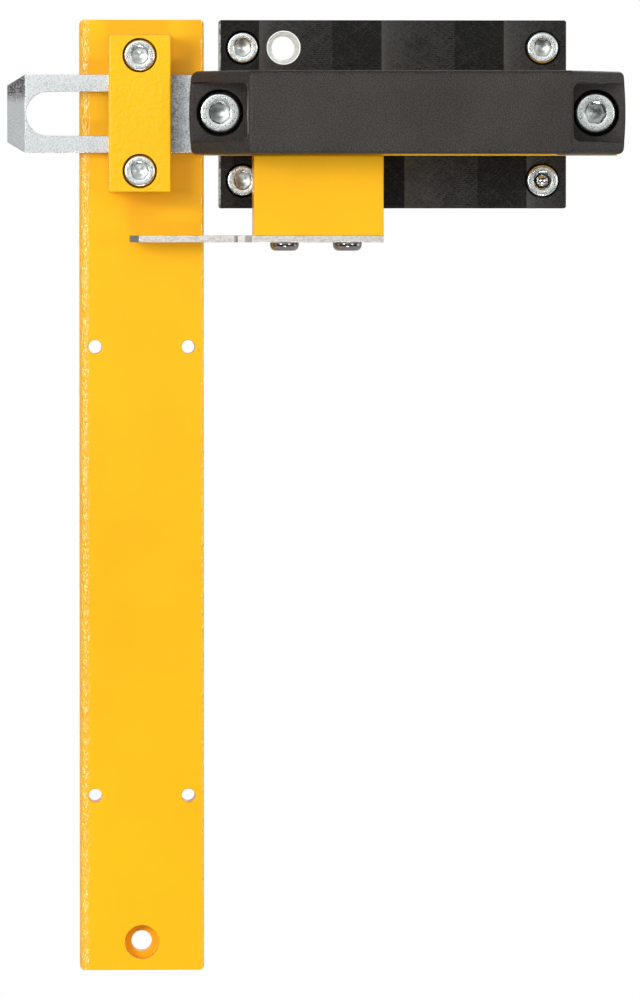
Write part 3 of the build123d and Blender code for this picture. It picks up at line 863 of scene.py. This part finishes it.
def settle(obj: bpy.types.Object, sharp: float | None = None) -> bpy.types.Object:
    """Turns an object with modifiers into one with a plain mesh, its faces outward.

    Args:
        obj: The object, which is removed.
        sharp: Angle past which an edge stays sharp, in degrees, or None to keep the mesh as it is.

    Returns:
        The plain object, with the same name.
    """
    name = obj.name
    graph = bpy.context.evaluated_depsgraph_get()
    solid = obj.evaluated_get(graph)
    mesh = bpy.data.meshes.new_from_object(solid, preserve_all_data_layers=True, depsgraph=graph)
    bpy.data.objects.remove(obj)
    if sharp is not None:
        work = bmesh.new()
        work.from_mesh(mesh)
        bmesh.ops.remove_doubles(work, verts=work.verts, dist=MERGE / 4)
        bmesh.ops.recalc_face_normals(work, faces=work.faces)
        work.to_mesh(mesh)
        work.free()
        mesh.shade_smooth()
        mesh.set_sharp_from_angle(angle=math.radians(sharp))
    return link_mesh(name, mesh)


def hand_over(obj: bpy.types.Object, body: Body, slot: Slot, finish: Finish, *nodes: str) -> None:
    """Gives a finished piece its material and body, and hides the CAD nodes that it stands for.

    Args:
        obj: The piece.
        body: The body that it moves with.
        slot: Not used.
        finish: The finish that it wears.
        nodes: CAD nodes that it stands for.
    """
    if not obj.data.materials:
        obj.data.materials.append(finish.material())
    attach(obj, body.value)
    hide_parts(*nodes)
    LOG.info("%s: %d faces, on %s", obj.name, len(obj.data.polygons), body.value)


def dress(node: str, finish: Finish) -> None:
    """Gives a CAD node that stays its finish.

    Args:
        node: The node's name.
        finish: The finish that it wears.
    """
    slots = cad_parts[node].data.materials
    slots.clear()
    slots.append(finish.material())
    LOG.info("%s: CAD node in %s", node, finish.name)


@dataclass(frozen=True)
class MachinedPiece:
    """Copy of a CAD node with whole flat faces and small rounded edges.

    edge is the width of a rounding and steps its segments; edges past the angle sharp, in degrees, get one.
    """

    node: str
    name: str
    slot: Slot
    finish: Finish
    edge: float
    steps: int = 2
    sharp: float = 32.0

    def build(self, body: Body) -> None:
        """Makes the piece and hands it over.

        Args:
            body: The body that it moves with.
        """
        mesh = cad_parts[self.node].data.copy()
        mesh.materials.clear()
        work = bmesh.new()
        work.from_mesh(mesh)
        bmesh.ops.remove_doubles(work, verts=work.verts, dist=MERGE)
        bmesh.ops.dissolve_limit(work, angle_limit=SAME_PLANE, verts=work.verts, edges=work.edges)
        work.to_mesh(mesh)
        work.free()
        mesh.shade_smooth()
        obj = link_mesh(self.name, mesh)
        bevel = obj.modifiers.new("edges", "BEVEL")
        bevel.width = self.edge
        bevel.segments = self.steps
        bevel.limit_method = "ANGLE"
        bevel.angle_limit = math.radians(self.sharp)
        bevel.use_clamp_overlap = False
        bevel.miter_outer = "MITER_ARC"
        normals = obj.modifiers.new("normals", "WEIGHTED_NORMAL")
        normals.keep_sharp = True
        hand_over(settle(obj), body, self.slot, self.finish, self.node)


# ---------------------------------------------------------------------------------------------
# Screws and other turned pieces
# ---------------------------------------------------------------------------------------------


@dataclass(frozen=True)
class Ring:
    """One ring of a turned piece.

    Radius, height from the head's top, and how far it is hexagonal, knurled and threaded.
    """

    radius: float
    height: float
    hexagon: float = 0.0
    knurl: float = 0.0
    thread: float = 0.0


RING_FIELDS = tuple(field.name for field in fields(Ring))


def arc_rings(centre: Span, radius: float, first: float, last: float, steps: int) -> list[Ring]:
    """Rings along an arc of the outline.

    Args:
        centre: Radius and height of the arc's centre.
        radius: Radius of the arc.
        first: Angle at its start, in degrees, 0 outward and 90 towards the point.
        last: Angle at its end.
        steps: Number of steps.

    Returns:
        The rings.
    """
    angles = [math.radians(first + (last - first) * i / steps) for i in range(steps + 1)]
    return [Ring(centre[0] + radius * math.cos(a), centre[1] + radius * math.sin(a)) for a in angles]


@dataclass(frozen=True)
class Thread:
    """A thread, and how finely it is drawn."""

    radius: float
    pitch: float
    steps: int = 8

    @property
    def depth(self) -> float:
        """Depth of the thread."""
        return 0.61 * self.pitch

    def rings(self, start: float, end: float) -> list[Ring]:
        """Rings of a threaded length that runs out at its start and ends in a chamfer.

        Args:
            start: Height where the thread begins.
            end: Height of the point.

        Returns:
            The rings, down to the point's centre.
        """
        length = end - 0.8 * self.pitch - start
        count = max(4, round(length / self.pitch * self.steps))
        heights = [start + length * i / count for i in range(count + 1)]
        made = [Ring(self.radius, at, thread=min(1.0, i / self.steps)) for i, at in enumerate(heights)]
        return made + [Ring(self.radius - self.depth - 0.05 * MM, end), Ring(0.0, end)]


@dataclass(frozen=True)
class Socket:
    """Hexagon socket with a drilled cone in its floor."""

    width: float
    depth: float
    cone: float = 0.32

    def rings(self) -> list[Ring]:
        """Rings from the cone's tip up to the mouth in the head's top."""
        half = self.width / 2
        return [
            Ring(0.0, self.depth + self.cone * half),
            Ring(half * 0.45, self.depth + self.cone * half * 0.52),
            Ring(half * 0.86, self.depth),
            Ring(half, self.depth, hexagon=1.0),
            Ring(half, self.depth * 0.5, hexagon=1.0),
            Ring(half, 0.32 * MM, hexagon=1.0),
            Ring(half * 1.2, 0.02 * MM),
            Ring(half * 1.24, 0.0),
        ]


@dataclass(frozen=True)
class Head:
    """A screw's head with a socket; each kind draws its own outside."""

    radius: float
    height: float
    socket: Socket
    knurls: int = 1
    knurl_depth: float = 0.0

    def outside(self) -> list[Ring]:
        """Rings from the socket's mouth to the head's underside."""
        raise NotImplementedError

    def rings(self) -> list[Ring]:
        """Rings from the socket's floor to the head's underside."""
        return self.socket.rings() + self.outside()


@dataclass(frozen=True)
class CapHead(Head):
    """Knurled cylinder head with a rounded rim."""

    rim: float = 0.6 * MM
    knurls: int = 36
    knurl_depth: float = 0.13 * MM

    def outside(self) -> list[Ring]:
        """Outline over the rim and down the knurled side.

        Returns:
            The rings.
        """
        side = self.rim + 0.35 * MM
        foot = self.height - 0.25 * MM
        top = arc_rings((self.radius - self.rim, self.rim), self.rim, -90, 0, 6)
        return top + [
            Ring(self.radius, side),
            Ring(self.radius, side + 0.3 * MM, knurl=1.0),
            Ring(self.radius, foot - 0.5 * MM, knurl=1.0),
            Ring(self.radius, foot - 0.2 * MM),
            Ring(self.radius, foot),
            Ring(self.radius - 0.25 * MM, self.height),
        ]


@dataclass(frozen=True)
class FlatHead(Head):
    """Countersunk head."""

    land: float = 0.25 * MM

    def outside(self) -> list[Ring]:
        """Rings over the rim, to where the cone begins."""
        return arc_rings((self.radius - self.land, self.land), self.land, -90, 45, 4)


@dataclass(frozen=True)
class ButtonHead(Head):
    """Domed head."""

    flat_r: float = 2.9 * MM
    rim: float = 0.6 * MM
    under: float = 0.3 * MM
    steps: int = 9

    def outside(self) -> list[Ring]:
        """Outline over the dome to the underside.

        Returns:
            The rings.
        """
        span = self.radius - self.flat_r
        drop = self.height - self.rim
        turns = [math.radians(90 * i / self.steps) for i in range(self.steps + 1)]
        dome = [Ring(self.flat_r + span * math.sin(a), drop * (1 - math.cos(a))) for a in turns]
        return dome + arc_rings((self.radius - self.under, self.height - self.under), self.under, 0, 90, 3)


class PieceTree:
    """Geometry Nodes tree that shapes a piece; each kind names its inputs and draws its shape."""

    name: str
    inputs: dict[str, str]

    def __init__(self) -> None:
        """Builds the tree once: its inputs, the shape, realised and given its material."""
        self.tree = bpy.data.node_groups.new(self.name, "GeometryNodeTree")
        self.sheet = Sheet(self.tree)
        face = self.tree.interface
        face.new_socket("Geometry", in_out="INPUT", socket_type="NodeSocketGeometry")
        face.new_socket("Geometry", in_out="OUTPUT", socket_type="NodeSocketGeometry")
        self.sockets: dict[str, str] = {}
        for name, kind in {**self.inputs, "Finish": "Material"}.items():
            made = face.new_socket(name, in_out="INPUT", socket_type=f"NodeSocket{kind}")
            self.sockets[name] = made.identifier
        start = self.sheet.node("NodeGroupInput")
        self.given = {socket.name: socket for socket in start.outputs if socket.name}
        real = self.sheet.step("GeometryNodeRealizeInstances", {"Geometry": self.shape()})
        painted = {"Geometry": real, "Material": self.given["Finish"]}
        end = self.sheet.node("NodeGroupOutput")
        self.sheet.feed(end.inputs[0], self.sheet.step("GeometryNodeSetMaterial", painted))

    def shape(self) -> Out:
        """Draws the shape and gives its geometry."""
        raise NotImplementedError

    def run(self, obj: bpy.types.Object, values: dict[str, object], sharp: float) -> bpy.types.Object:
        """Runs the tree on an object.

        Args:
            obj: The object that the tree starts from.
            values: The inputs' values by name.
            sharp: Angle past which an edge stays sharp, in degrees.

        Returns:
            The piece, with a plain mesh.
        """
        modifier = obj.modifiers.new(self.name, "NODES")
        modifier.node_group = self.tree
        for name, value in values.items():
            modifier[self.sockets[name]] = value
        return settle(obj, sharp)


class TurnedPieces(PieceTree):
    """Tree that turns an outline into a piece, threads and knurls it, and repeats it."""

    name = "turned_pieces"
    inputs = {
        "Segments": "Int", "Knurls": "Int", "Knurl Depth": "Float", "Pitch": "Float", "Thread Depth": "Float",
        "Count": "Int", "First Place": "Vector", "Step": "Vector", "Lean": "Vector", "Turn": "Float",
    }

    def ring_value(self, name: str, index: Out) -> Out:
        """Reads one field of the outline's ring at an index.

        Args:
            name: The field's name.
            index: The ring's index.

        Returns:
            The value's socket.
        """
        stored = self.sheet.step("GeometryNodeInputNamedAttribute", {"Name": name}, data_type="FLOAT")
        wanted = {"Geometry": self.given["Geometry"], "Value": stored, "Index": index}
        return self.sheet.step("GeometryNodeSampleIndex", wanted, data_type="FLOAT", domain="POINT")

    def lathe(self) -> Out:
        """Turns the outline into a closed piece about +Y, whose vertices remember their own place.

        Returns:
            The piece's geometry.
        """
        sheet = self.sheet
        segments = self.given["Segments"]
        outline = {"Geometry": self.given["Geometry"]}
        rings = sheet.step("GeometryNodeAttributeDomainSize", outline, component="MESH")
        spokes = sheet.plus(segments, 1.0)
        grid = sheet.step("GeometryNodeMeshGrid", {"Vertices X": spokes, "Vertices Y": rings})
        index = sheet.node("GeometryNodeInputIndex").outputs[0]
        ring = sheet.math("MODULO", index, rings)
        spoke = sheet.math("FLOOR", sheet.math("DIVIDE", sheet.plus(index, 0.5), rings))
        angle = sheet.times(sheet.math("DIVIDE", spoke, segments), FULL_TURN)
        value = {name: self.ring_value(name, ring) for name in RING_FIELDS}
        place = sheet.around(self.carved(value, angle), value["height"], angle)
        shape = sheet.step("GeometryNodeSetPosition", {"Geometry": grid, "Position": place})
        shape = sheet.step("GeometryNodeMergeByDistance", {"Geometry": shape, "Distance": MERGE / 4})
        own = sheet.node("GeometryNodeInputPosition").outputs[0]
        kept = {"Geometry": shape, "Name": OWN_PLACE, "Value": own}
        return sheet.step("GeometryNodeStoreNamedAttribute", kept, data_type="FLOAT_VECTOR", domain="POINT")

    def carved(self, value: dict[str, Out], angle: Out) -> Out:
        """Radius at an angle, with the hexagon, the knurls and the thread.

        Args:
            value: The ring's fields.
            angle: Angle about the axis.

        Returns:
            The radius's socket.
        """
        sheet = self.sheet
        given = self.given
        sixth = FULL_TURN / 6
        turned = sheet.plus(angle, sheet.plus(given["Turn"], FULL_TURN))
        side = sheet.minus(sheet.math("MODULO", turned, sixth), sixth / 2)
        flat = sheet.math("DIVIDE", value["radius"], sheet.math("COSINE", side))
        radius = sheet.blend(value["hexagon"], value["radius"], flat)
        ridge = sheet.math("COSINE", sheet.times(angle, given["Knurls"]))
        knurl = sheet.times(sheet.minus(1.0, ridge), 0.5, value["knurl"], given["Knurl Depth"])
        turns = sheet.math("DIVIDE", angle, FULL_TURN)
        phase = sheet.math("FRACT", sheet.plus(sheet.math("DIVIDE", value["height"], given["Pitch"]), turns))
        flank = sheet.math("ABSOLUTE", sheet.minus(sheet.times(phase, 2.0), 1.0))
        cut = sheet.times(flank, value["thread"], given["Thread Depth"])
        return sheet.minus(sheet.minus(radius, knurl), cut)

    def shape(self) -> Out:
        """Draws the turned piece and its copies along a line.

        Returns:
            Their geometry.
        """
        given = self.given
        line = {"Count": given["Count"], "Start Location": given["First Place"], "Offset": given["Step"]}
        copies = {
            "Points": self.sheet.step("GeometryNodeMeshLine", line, mode="OFFSET"),
            "Instance": self.lathe(),
            "Rotation": given["Lean"],
        }
        return self.sheet.step("GeometryNodeInstanceOnPoints", copies)

    def make(self, name: str, rings: list[Ring], thread: Thread, finish: Finish, places: list[Vector],
             way: Way = Way.BACK, head: Head | None = None, turn: float = 0.0,
             segments: int = 108) -> bpy.types.Object:
        """Makes one or two equal pieces from an outline.

        Args:
            name: The new piece's name.
            rings: The outline, from pole to pole.
            thread: The thread.
            finish: The finish.
            places: Where the outline's origin goes, one or two places.
            way: Where the point looks.
            head: The head whose knurls it has, if it has one.
            turn: Turn of the hexagon, in radians.
            segments: Steps round the axis.

        Returns:
            The piece, with a plain mesh.
        """
        mesh = bpy.data.meshes.new(name)
        mesh.from_pydata([(ring.radius, ring.height, 0.0) for ring in rings], [], [])
        for field_name in RING_FIELDS:
            layer = mesh.attributes.new(field_name, "FLOAT", "POINT")
            layer.data.foreach_set("value", [getattr(ring, field_name) for ring in rings])
        values = {
            "Segments": segments,
            "Knurls": head.knurls if head else 1,
            "Knurl Depth": head.knurl_depth if head else 0.0,
            "Pitch": thread.pitch,
            "Thread Depth": thread.depth,
            "Count": len(places),
            "First Place": places[0],
            "Step": places[-1] - places[0],
            "Lean": Vector(way.value),
            "Turn": turn,
            "Finish": finish.material(),
        }
        return self.run(link_mesh(name, mesh), values, sharp=34.0)


class WireSpring(PieceTree):
    """Tree that winds a wire into a spring with flat ends, along Y."""

    name = "wire_spring"
    inputs = {
        "Turns": "Float", "Coil Radius": "Float", "Wire Radius": "Float", "Length": "Float", "Start": "Vector"
    }
    wire_steps = 260
    wire_sides = 14
    flat_share = 0.04

    def shape(self) -> Out:
        """Draws a line bent to a helix and swept with the wire.

        Returns:
            The spring's geometry.
        """
        sheet = self.sheet
        given = self.given
        line = sheet.node("GeometryNodeCurvePrimitiveLine").outputs[0]
        fine = sheet.step("GeometryNodeResampleCurve", {"Curve": line, "Count": self.wire_steps})
        share = sheet.node("GeometryNodeSplineParameter").outputs["Factor"]
        angle = sheet.times(share, given["Turns"], FULL_TURN)
        span = {"Value": share, "From Min": self.flat_share, "From Max": 1.0 - self.flat_share}
        rise = sheet.step("ShaderNodeMapRange", span, interpolation_type="SMOOTHSTEP")
        place = sheet.around(given["Coil Radius"], sheet.times(given["Length"], rise), angle)
        moved = {"Geometry": fine, "Position": place, "Offset": given["Start"]}
        round_wire = {"Resolution": self.wire_sides, "Radius": given["Wire Radius"]}
        sweep = {
            "Curve": sheet.step("GeometryNodeSetPosition", moved),
            "Profile Curve": sheet.step("GeometryNodeCurvePrimitiveCircle", round_wire),
            "Fill Caps": True,
        }
        return sheet.step("GeometryNodeCurveToMesh", sweep)


@dataclass(frozen=True)
class ScrewPair:
    """One or two equal screws of a CAD node; a neck, where they have one, ends in the plane y = 0."""

    maker: TurnedPieces
    node: str
    head: Head
    thread: Thread
    finish: Finish
    slot: Slot = Slot.ZINC_SCREW
    way: Way = Way.BACK
    neck_r: float = 0.0
    turn: float = 0.0
    neck_fillet: float = 0.3 * MM

    def places(self) -> list[Vector]:
        """Tops of the heads, from the node's box.

        Returns:
            One place, or two along X or Z.
        """
        low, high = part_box(self.node)
        top = (low + high) / 2
        along = 2 if self.way is Way.UP else 1
        top[along] = high[along] if self.way is Way.FORWARD else low[along]
        radius = self.head.radius
        for axis in (0, 2):
            if high[axis] - low[axis] > 2.5 * radius:
                pair = [top.copy(), top.copy()]
                pair[0][axis] = low[axis] + radius
                pair[1][axis] = high[axis] - radius
                return pair
        return [top]

    def rings(self) -> list[Ring]:
        """Outline of head, neck and thread.

        Returns:
            The rings, from the socket to the point.
        """
        low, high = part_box(self.node)
        length = high.z - low.z if self.way is Way.UP else high.y - low.y
        start = self.head.height
        neck = [Ring(self.thread.radius, start)]
        if self.neck_r:
            neck = [
                Ring(self.neck_r + self.neck_fillet, start),
                Ring(self.neck_r, start + self.neck_fillet),
                Ring(self.neck_r, -low.y - 0.05 * MM),
            ]
            start = -low.y
        return self.head.rings() + neck + self.thread.rings(start + 0.02 * MM, length)

    def build(self, body: Body) -> None:
        """Makes the screws and hands them over.

        Args:
            body: The body that they move with.
        """
        piece = self.maker.make(f"{self.node}_turned", self.rings(), self.thread, self.finish, self.places(),
                                self.way, self.head, self.turn)
        hand_over(piece, body, self.slot, self.finish, self.node)


M5_THREAD = Thread(2.5 * MM, 0.8 * MM)
M6_THREAD = Thread(3.0 * MM, 1.0 * MM)
M8_THREAD = Thread(4.0 * MM, 1.25 * MM)
M6_HEAD = CapHead(5.0 * MM, 6.0 * MM, Socket(5.0 * MM, 3.2 * MM))
M6_DEEP_HEAD = CapHead(5.0 * MM, 6.0 * MM, Socket(5.0 * MM, 4.4 * MM))
M8_HEAD = CapHead(6.5 * MM, 8.0 * MM, Socket(6.0 * MM, 4.2 * MM), rim=0.75 * MM, knurls=40)
M5_FLAT_HEAD = FlatHead(4.7 * MM, 2.2 * MM, Socket(3.0 * MM, 1.8 * MM))
M5_BUTTON_HEAD = ButtonHead(4.7 * MM, 2.7 * MM, Socket(3.0 * MM, 1.8 * MM))
M6_NECK_R = 2.675 * MM


# ---------------------------------------------------------------------------------------------
# Sub-assemblies
# ---------------------------------------------------------------------------------------------


@dataclass(frozen=True)
class Half:
    """Pieces that ride on one body; each half lists its own."""

    maker: TurnedPieces

    body: ClassVar[Body]
    balls: ClassVar[tuple[str, ...]] = ()

    def pieces(self) -> list[MachinedPiece | ScrewPair]:
        """The half's pieces, in the order in which they are built."""
        raise NotImplementedError

    def m6(self, node: str, head: Head, turn: float) -> ScrewPair:
        """Two necked M6 screws with a turned socket."""
        return ScrewPair(self.maker, node, head, M6_THREAD, M6_ZINC, neck_r=M6_NECK_R, turn=turn)

    def build(self) -> None:
        """Builds the pieces and dresses the balls."""
        for piece in self.pieces():
            piece.build(self.body)
        for node in self.balls:
            dress(node, BALL_STEEL)


@dataclass(frozen=True)
class PostHalf(Half):
    """Bar and guide block on the guard's post, with the block's two screws."""

    bar_edge: float = 0.22 * MM
    block_edge: float = 0.2 * MM

    body: ClassVar[Body] = Body.POST

    def pieces(self) -> list[MachinedPiece | ScrewPair]:
        """Bar, block and screws.

        Returns:
            The pieces.
        """
        low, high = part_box("post_bar")
        coat = PowderCoat("yellow_powder_coat_bar", YELLOW, edges=(low.x, high.x, low.y))
        return [
            MachinedPiece("post_bar", "post_bar_coated", Slot.YELLOW, coat, self.bar_edge, 3),
            MachinedPiece("guide_block", "guide_block_coated", Slot.YELLOW, BLOCK_COAT, self.block_edge, 3),
            self.m6("guide_block_screws", M6_HEAD, 0.35),
        ]


@dataclass(frozen=True)
class DoorHalf(Half):
    """Door plate with its channel, four screws, bush, stop pin and the ball in the lower right screw."""

    plate_edge: float = 0.22 * MM
    bush_edge: float = 0.12 * MM
    pin_edge: float = 0.3 * MM

    body: ClassVar[Body] = Body.DOOR
    balls: ClassVar[tuple[str, ...]] = ("security_ball",)

    def pieces(self) -> list[MachinedPiece | ScrewPair]:
        """Plate, screws, bush and pin.

        Returns:
            The pieces.
        """
        low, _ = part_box("door_plate")
        black = MilledAnodised("black_anodised_milled", PLATE_BLACK, worn_and_lit_corner=(low.x, low.y))
        return [
            MachinedPiece("door_plate", "door_plate_milled", Slot.ANODISED, black, self.plate_edge),
            self.m6("door_plate_screws_left", M6_HEAD, 0.2),
            self.m6("door_plate_screws_right", M6_DEEP_HEAD, 0.5),
            MachinedPiece("padlock_bush", "padlock_bush_turned", Slot.ZINC, BUSH_ZINC, self.bush_edge),
            MachinedPiece("stop_pin", "stop_pin_turned", Slot.POLISHED, BALL_STEEL, self.pin_edge, 3),
        ]


@dataclass(frozen=True)
class SlidingHalf(Half):
    """Carriage, runner, bolt, handle and actuator, with their screws."""

    carriage_edge: float = 0.1 * MM
    bolt_edge: float = 0.18 * MM
    handle_edge: float = 0.3 * MM
    tag_edge: float = 0.12 * MM

    body: ClassVar[Body] = Body.SLIDE

    def m8(self, node: str, turn: float) -> ScrewPair:
        """One M8 screw of the handle with a turned socket."""
        return ScrewPair(self.maker, node, M8_HEAD, M8_THREAD, M8_ZINC, turn=turn)

    def m5(self, node: str, way: Way) -> ScrewPair:
        """Countersunk M5 screws."""
        return ScrewPair(self.maker, node, M5_FLAT_HEAD, M5_THREAD, SCREW_ZINC, way=way)

    def pieces(self) -> list[MachinedPiece | ScrewPair]:
        """Carriage, runner, bolt, handle, actuator and screws.

        Returns:
            The pieces.
        """
        return [
            MachinedPiece("carriage", "carriage_coated", Slot.YELLOW, YELLOW_COAT, self.carriage_edge),
            MachinedPiece("slide_runner", "slide_runner_plated", Slot.ZINC, PLATED_ZINC, self.carriage_edge),
            MachinedPiece("bolt_tongue", "bolt_tongue_plated", Slot.ZINC, BOLT_ZINC, self.bolt_edge),
            MachinedPiece("handle", "bow_handle_coated", Slot.HANDLE, HANDLE_COAT, self.handle_edge, 3, 50.0),
            MachinedPiece("actuator", "actuator_sheared", Slot.SHEET, TAG_STEEL, self.tag_edge),
            self.m8("handle_screw_left", 0.1),
            self.m8("handle_screw_right", 0.42),
            self.m5("bolt_fixing_screw", Way.BACK),
            self.m5("runner_screws", Way.FORWARD),
            ScrewPair(self.maker, "actuator_screws", M5_BUTTON_HEAD, M5_THREAD, BUTTON_STEEL, Slot.BUTTON,
                      Way.UP),
        ]


@dataclass(frozen=True)
class BallCatch:
    """Spring-loaded ball between runner and door plate."""

    maker: TurnedPieces
    bore_r: float = 1.9 * MM
    pitch: float = 0.75 * MM
    chamfer: float = 0.5 * MM
    wire_r: float = 0.22 * MM
    turns: float = 8.5

    def build(self) -> None:
        """Builds and dresses the catch."""
        self.sleeve()
        self.spring()
        dress("detent_ball", BALL_STEEL)

    def sleeve(self) -> None:
        """Makes the threaded sleeve, closed in front and open at the back."""
        low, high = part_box("detent_sleeve")
        spring_front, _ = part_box("detent_spring")
        outer = (high.x - low.x) / 2
        length = high.y - low.y
        thread = Thread(outer, self.pitch)
        floor = spring_front.y - low.y
        threaded = length - 2 * self.chamfer
        steps = round(threaded / thread.pitch * thread.steps)
        side = [Ring(outer, self.chamfer + threaded * i / steps, thread=1.0) for i in range(steps + 1)]
        rings = Socket(2.5 * MM, 1.4 * MM).rings() + [Ring(outer - 0.55 * MM, 0.0)] + side + [
            Ring(outer - 0.5 * MM, length),
            Ring(self.bore_r, length),
            Ring(self.bore_r, floor),
            Ring(0.0, floor),
        ]
        place = Vector(((low.x + high.x) / 2, low.y, (low.z + high.z) / 2))
        piece = self.maker.make("detent_sleeve_threaded", rings, thread, SCREW_ZINC, [place], segments=72)
        hand_over(piece, Body.SLIDE, Slot.ZINC_SCREW, SCREW_ZINC, "detent_sleeve")

    def spring(self) -> None:
        """Winds the spring in the space of its CAD tube."""
        low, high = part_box("detent_spring")
        values = {
            "Turns": self.turns,
            "Coil Radius": (high.x - low.x) / 2 - self.wire_r,
            "Wire Radius": self.wire_r,
            "Start": Vector(((low.x + high.x) / 2, low.y + self.wire_r, (low.z + high.z) / 2)),
            "Length": high.y - low.y - 2 * self.wire_r,
            "Finish": SPRING_STEEL.material(),
        }
        name = "detent_spring_wound"
        piece = WireSpring().run(link_mesh(name, bpy.data.meshes.new(name)), values, sharp=50.0)
        hand_over(piece, Body.SLIDE, Slot.POLISHED, SPRING_STEEL, "detent_spring")


# ---------------------------------------------------------------------------------------------
# Studio
# ---------------------------------------------------------------------------------------------


@dataclass(frozen=True)
class Softbox:
    """A rectangular area light; it is square when it has no height."""

    name: str
    place: Place
    size: float
    watts: float
    height: float = 0.0


@dataclass(frozen=True)
class Studio:
    """Camera, soft light and pale floor."""

    camera_place: Place = (-0.04576, -2.762, -0.0437)
    aim: Place = (0.05744, -0.012, -0.12384)
    lens: float = 308.3
    sky_front: float = 0.82
    sky_side: float = 0.2
    sky_back: float = 0.8
    sky_low: float = 0.06
    floor_gap: float = 0.1
    floor_width: float = 1.4
    floor_front: float = -0.45
    floor_back: float = 0.6
    floor_greys: Span = (0.8, 0.84)
    lights: tuple[Softbox, ...] = (
        Softbox("key_softbox", (-1.2, -2.3, 0.25), 0.8, 33.0),
        Softbox("right_softbox", (1.6, -2.0, -0.05), 0.8, 9.0),
        Softbox("low_softbox", (0.1, -1.7, -1.3), 0.5, 14.0),
        Softbox("front_softbox", (-0.6, -2.75, 0.9), 1.4, 6.0, 0.8),
        Softbox("left_strip", (-1.4, -0.35, 0.0), 0.5, 1.1, 1.0),
        Softbox("right_strip", (1.6, 0.15, 0.0), 0.8, 4.5, 1.2),
        Softbox("rear_softbox", (0.6, 1.8, 0.8), 1.0, 8.0),
    )

    def build(self) -> None:
        """Sets the studio up."""
        camera = bpy.data.cameras.new("camera")
        camera.lens = self.lens
        camera.clip_end = 50.0
        bpy.context.scene.camera = self.aimed(camera, self.camera_place)
        for box in self.lights:
            self.light(box)
        self.world()
        self.floor()
        bpy.context.scene.view_settings.view_transform = "Standard"

    def aimed(self, data: bpy.types.Camera | bpy.types.Light, place: Place) -> bpy.types.Object:
        """Puts a camera or a light in the scene, turned towards the object.

        Args:
            data: The camera or light.
            place: Where it stands.

        Returns:
            Its object.
        """
        obj = bpy.data.objects.new(data.name, data)
        obj.location = place
        obj.rotation_euler = (Vector(self.aim) - Vector(place)).to_track_quat("-Z", "Y").to_euler()
        bpy.context.scene.collection.objects.link(obj)
        return obj

    def light(self, box: Softbox) -> None:
        """Hangs one softbox.

        Args:
            box: The softbox.
        """
        data = bpy.data.lights.new(box.name, "AREA")
        data.energy = box.watts
        data.shape = "RECTANGLE"
        data.size = box.size
        data.size_y = box.height or box.size
        self.aimed(data, box.place)

    def world(self) -> None:
        """White backdrop; the light that it gives is softer than it looks."""
        world = bpy.data.worlds.new("white_studio")
        bpy.context.scene.world = world
        world.use_nodes = True
        sheet = Sheet(world.node_tree)
        seen = sheet.node("ShaderNodeLightPath").outputs["Is Camera Ray"]
        _, depth, height = sheet.split(sheet.node("ShaderNodeTexCoord").outputs["Generated"])
        front = sheet.stretch(depth, 0.0, -0.8, self.sky_side, self.sky_front)
        back = sheet.stretch(depth, 0.0, 0.8, 0.0, self.sky_back - self.sky_side)
        low = sheet.stretch(height, -0.13, 0.03, self.sky_low, 1.0)
        light = sheet.plus(sheet.times(front, low), back)
        sky = {"Strength": sheet.blend(seen, light, 1.0), "Color": (1.0, 1.0, 1.0, 1.0)}
        out = sheet.node("ShaderNodeOutputWorld")
        sheet.feed(out.inputs["Surface"], sheet.step("ShaderNodeBackground", sky))

    def floor(self) -> None:
        """Lays the pale floor below the object."""
        low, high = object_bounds()
        z = low.z - self.floor_gap
        left = (low.x + high.x - self.floor_width) / 2
        right = left + self.floor_width
        front, back = self.floor_front, self.floor_back
        corners = [(left, front, z), (right, front, z), (right, back, z), (left, back, z)]
        mesh = bpy.data.meshes.new("pale_floor")
        mesh.from_pydata(corners, [], [(0, 1, 2, 3)])
        floor = link_mesh("pale_floor", mesh)
        material = bpy.data.materials.new("pale_floor_paint")
        sheet = ShaderSheet(material)
        dark, light = [(grey, grey, grey) for grey in self.floor_greys]
        sheet.wear(sheet.tint(sheet.noise(0.05), dark, light), 0.7)
        mesh.materials.append(material)
        floor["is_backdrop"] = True


def main() -> None:
    """Builds the sub-assemblies in order, then the studio."""
    logging.basicConfig(level=logging.INFO, format="%(name)s: %(message)s")
    maker = TurnedPieces()
    PostHalf(maker).build()
    DoorHalf(maker).build()
    SlidingHalf(maker).build()
    BallCatch(maker).build()
    Studio().build()


if __name__ == "__main__":
    main()
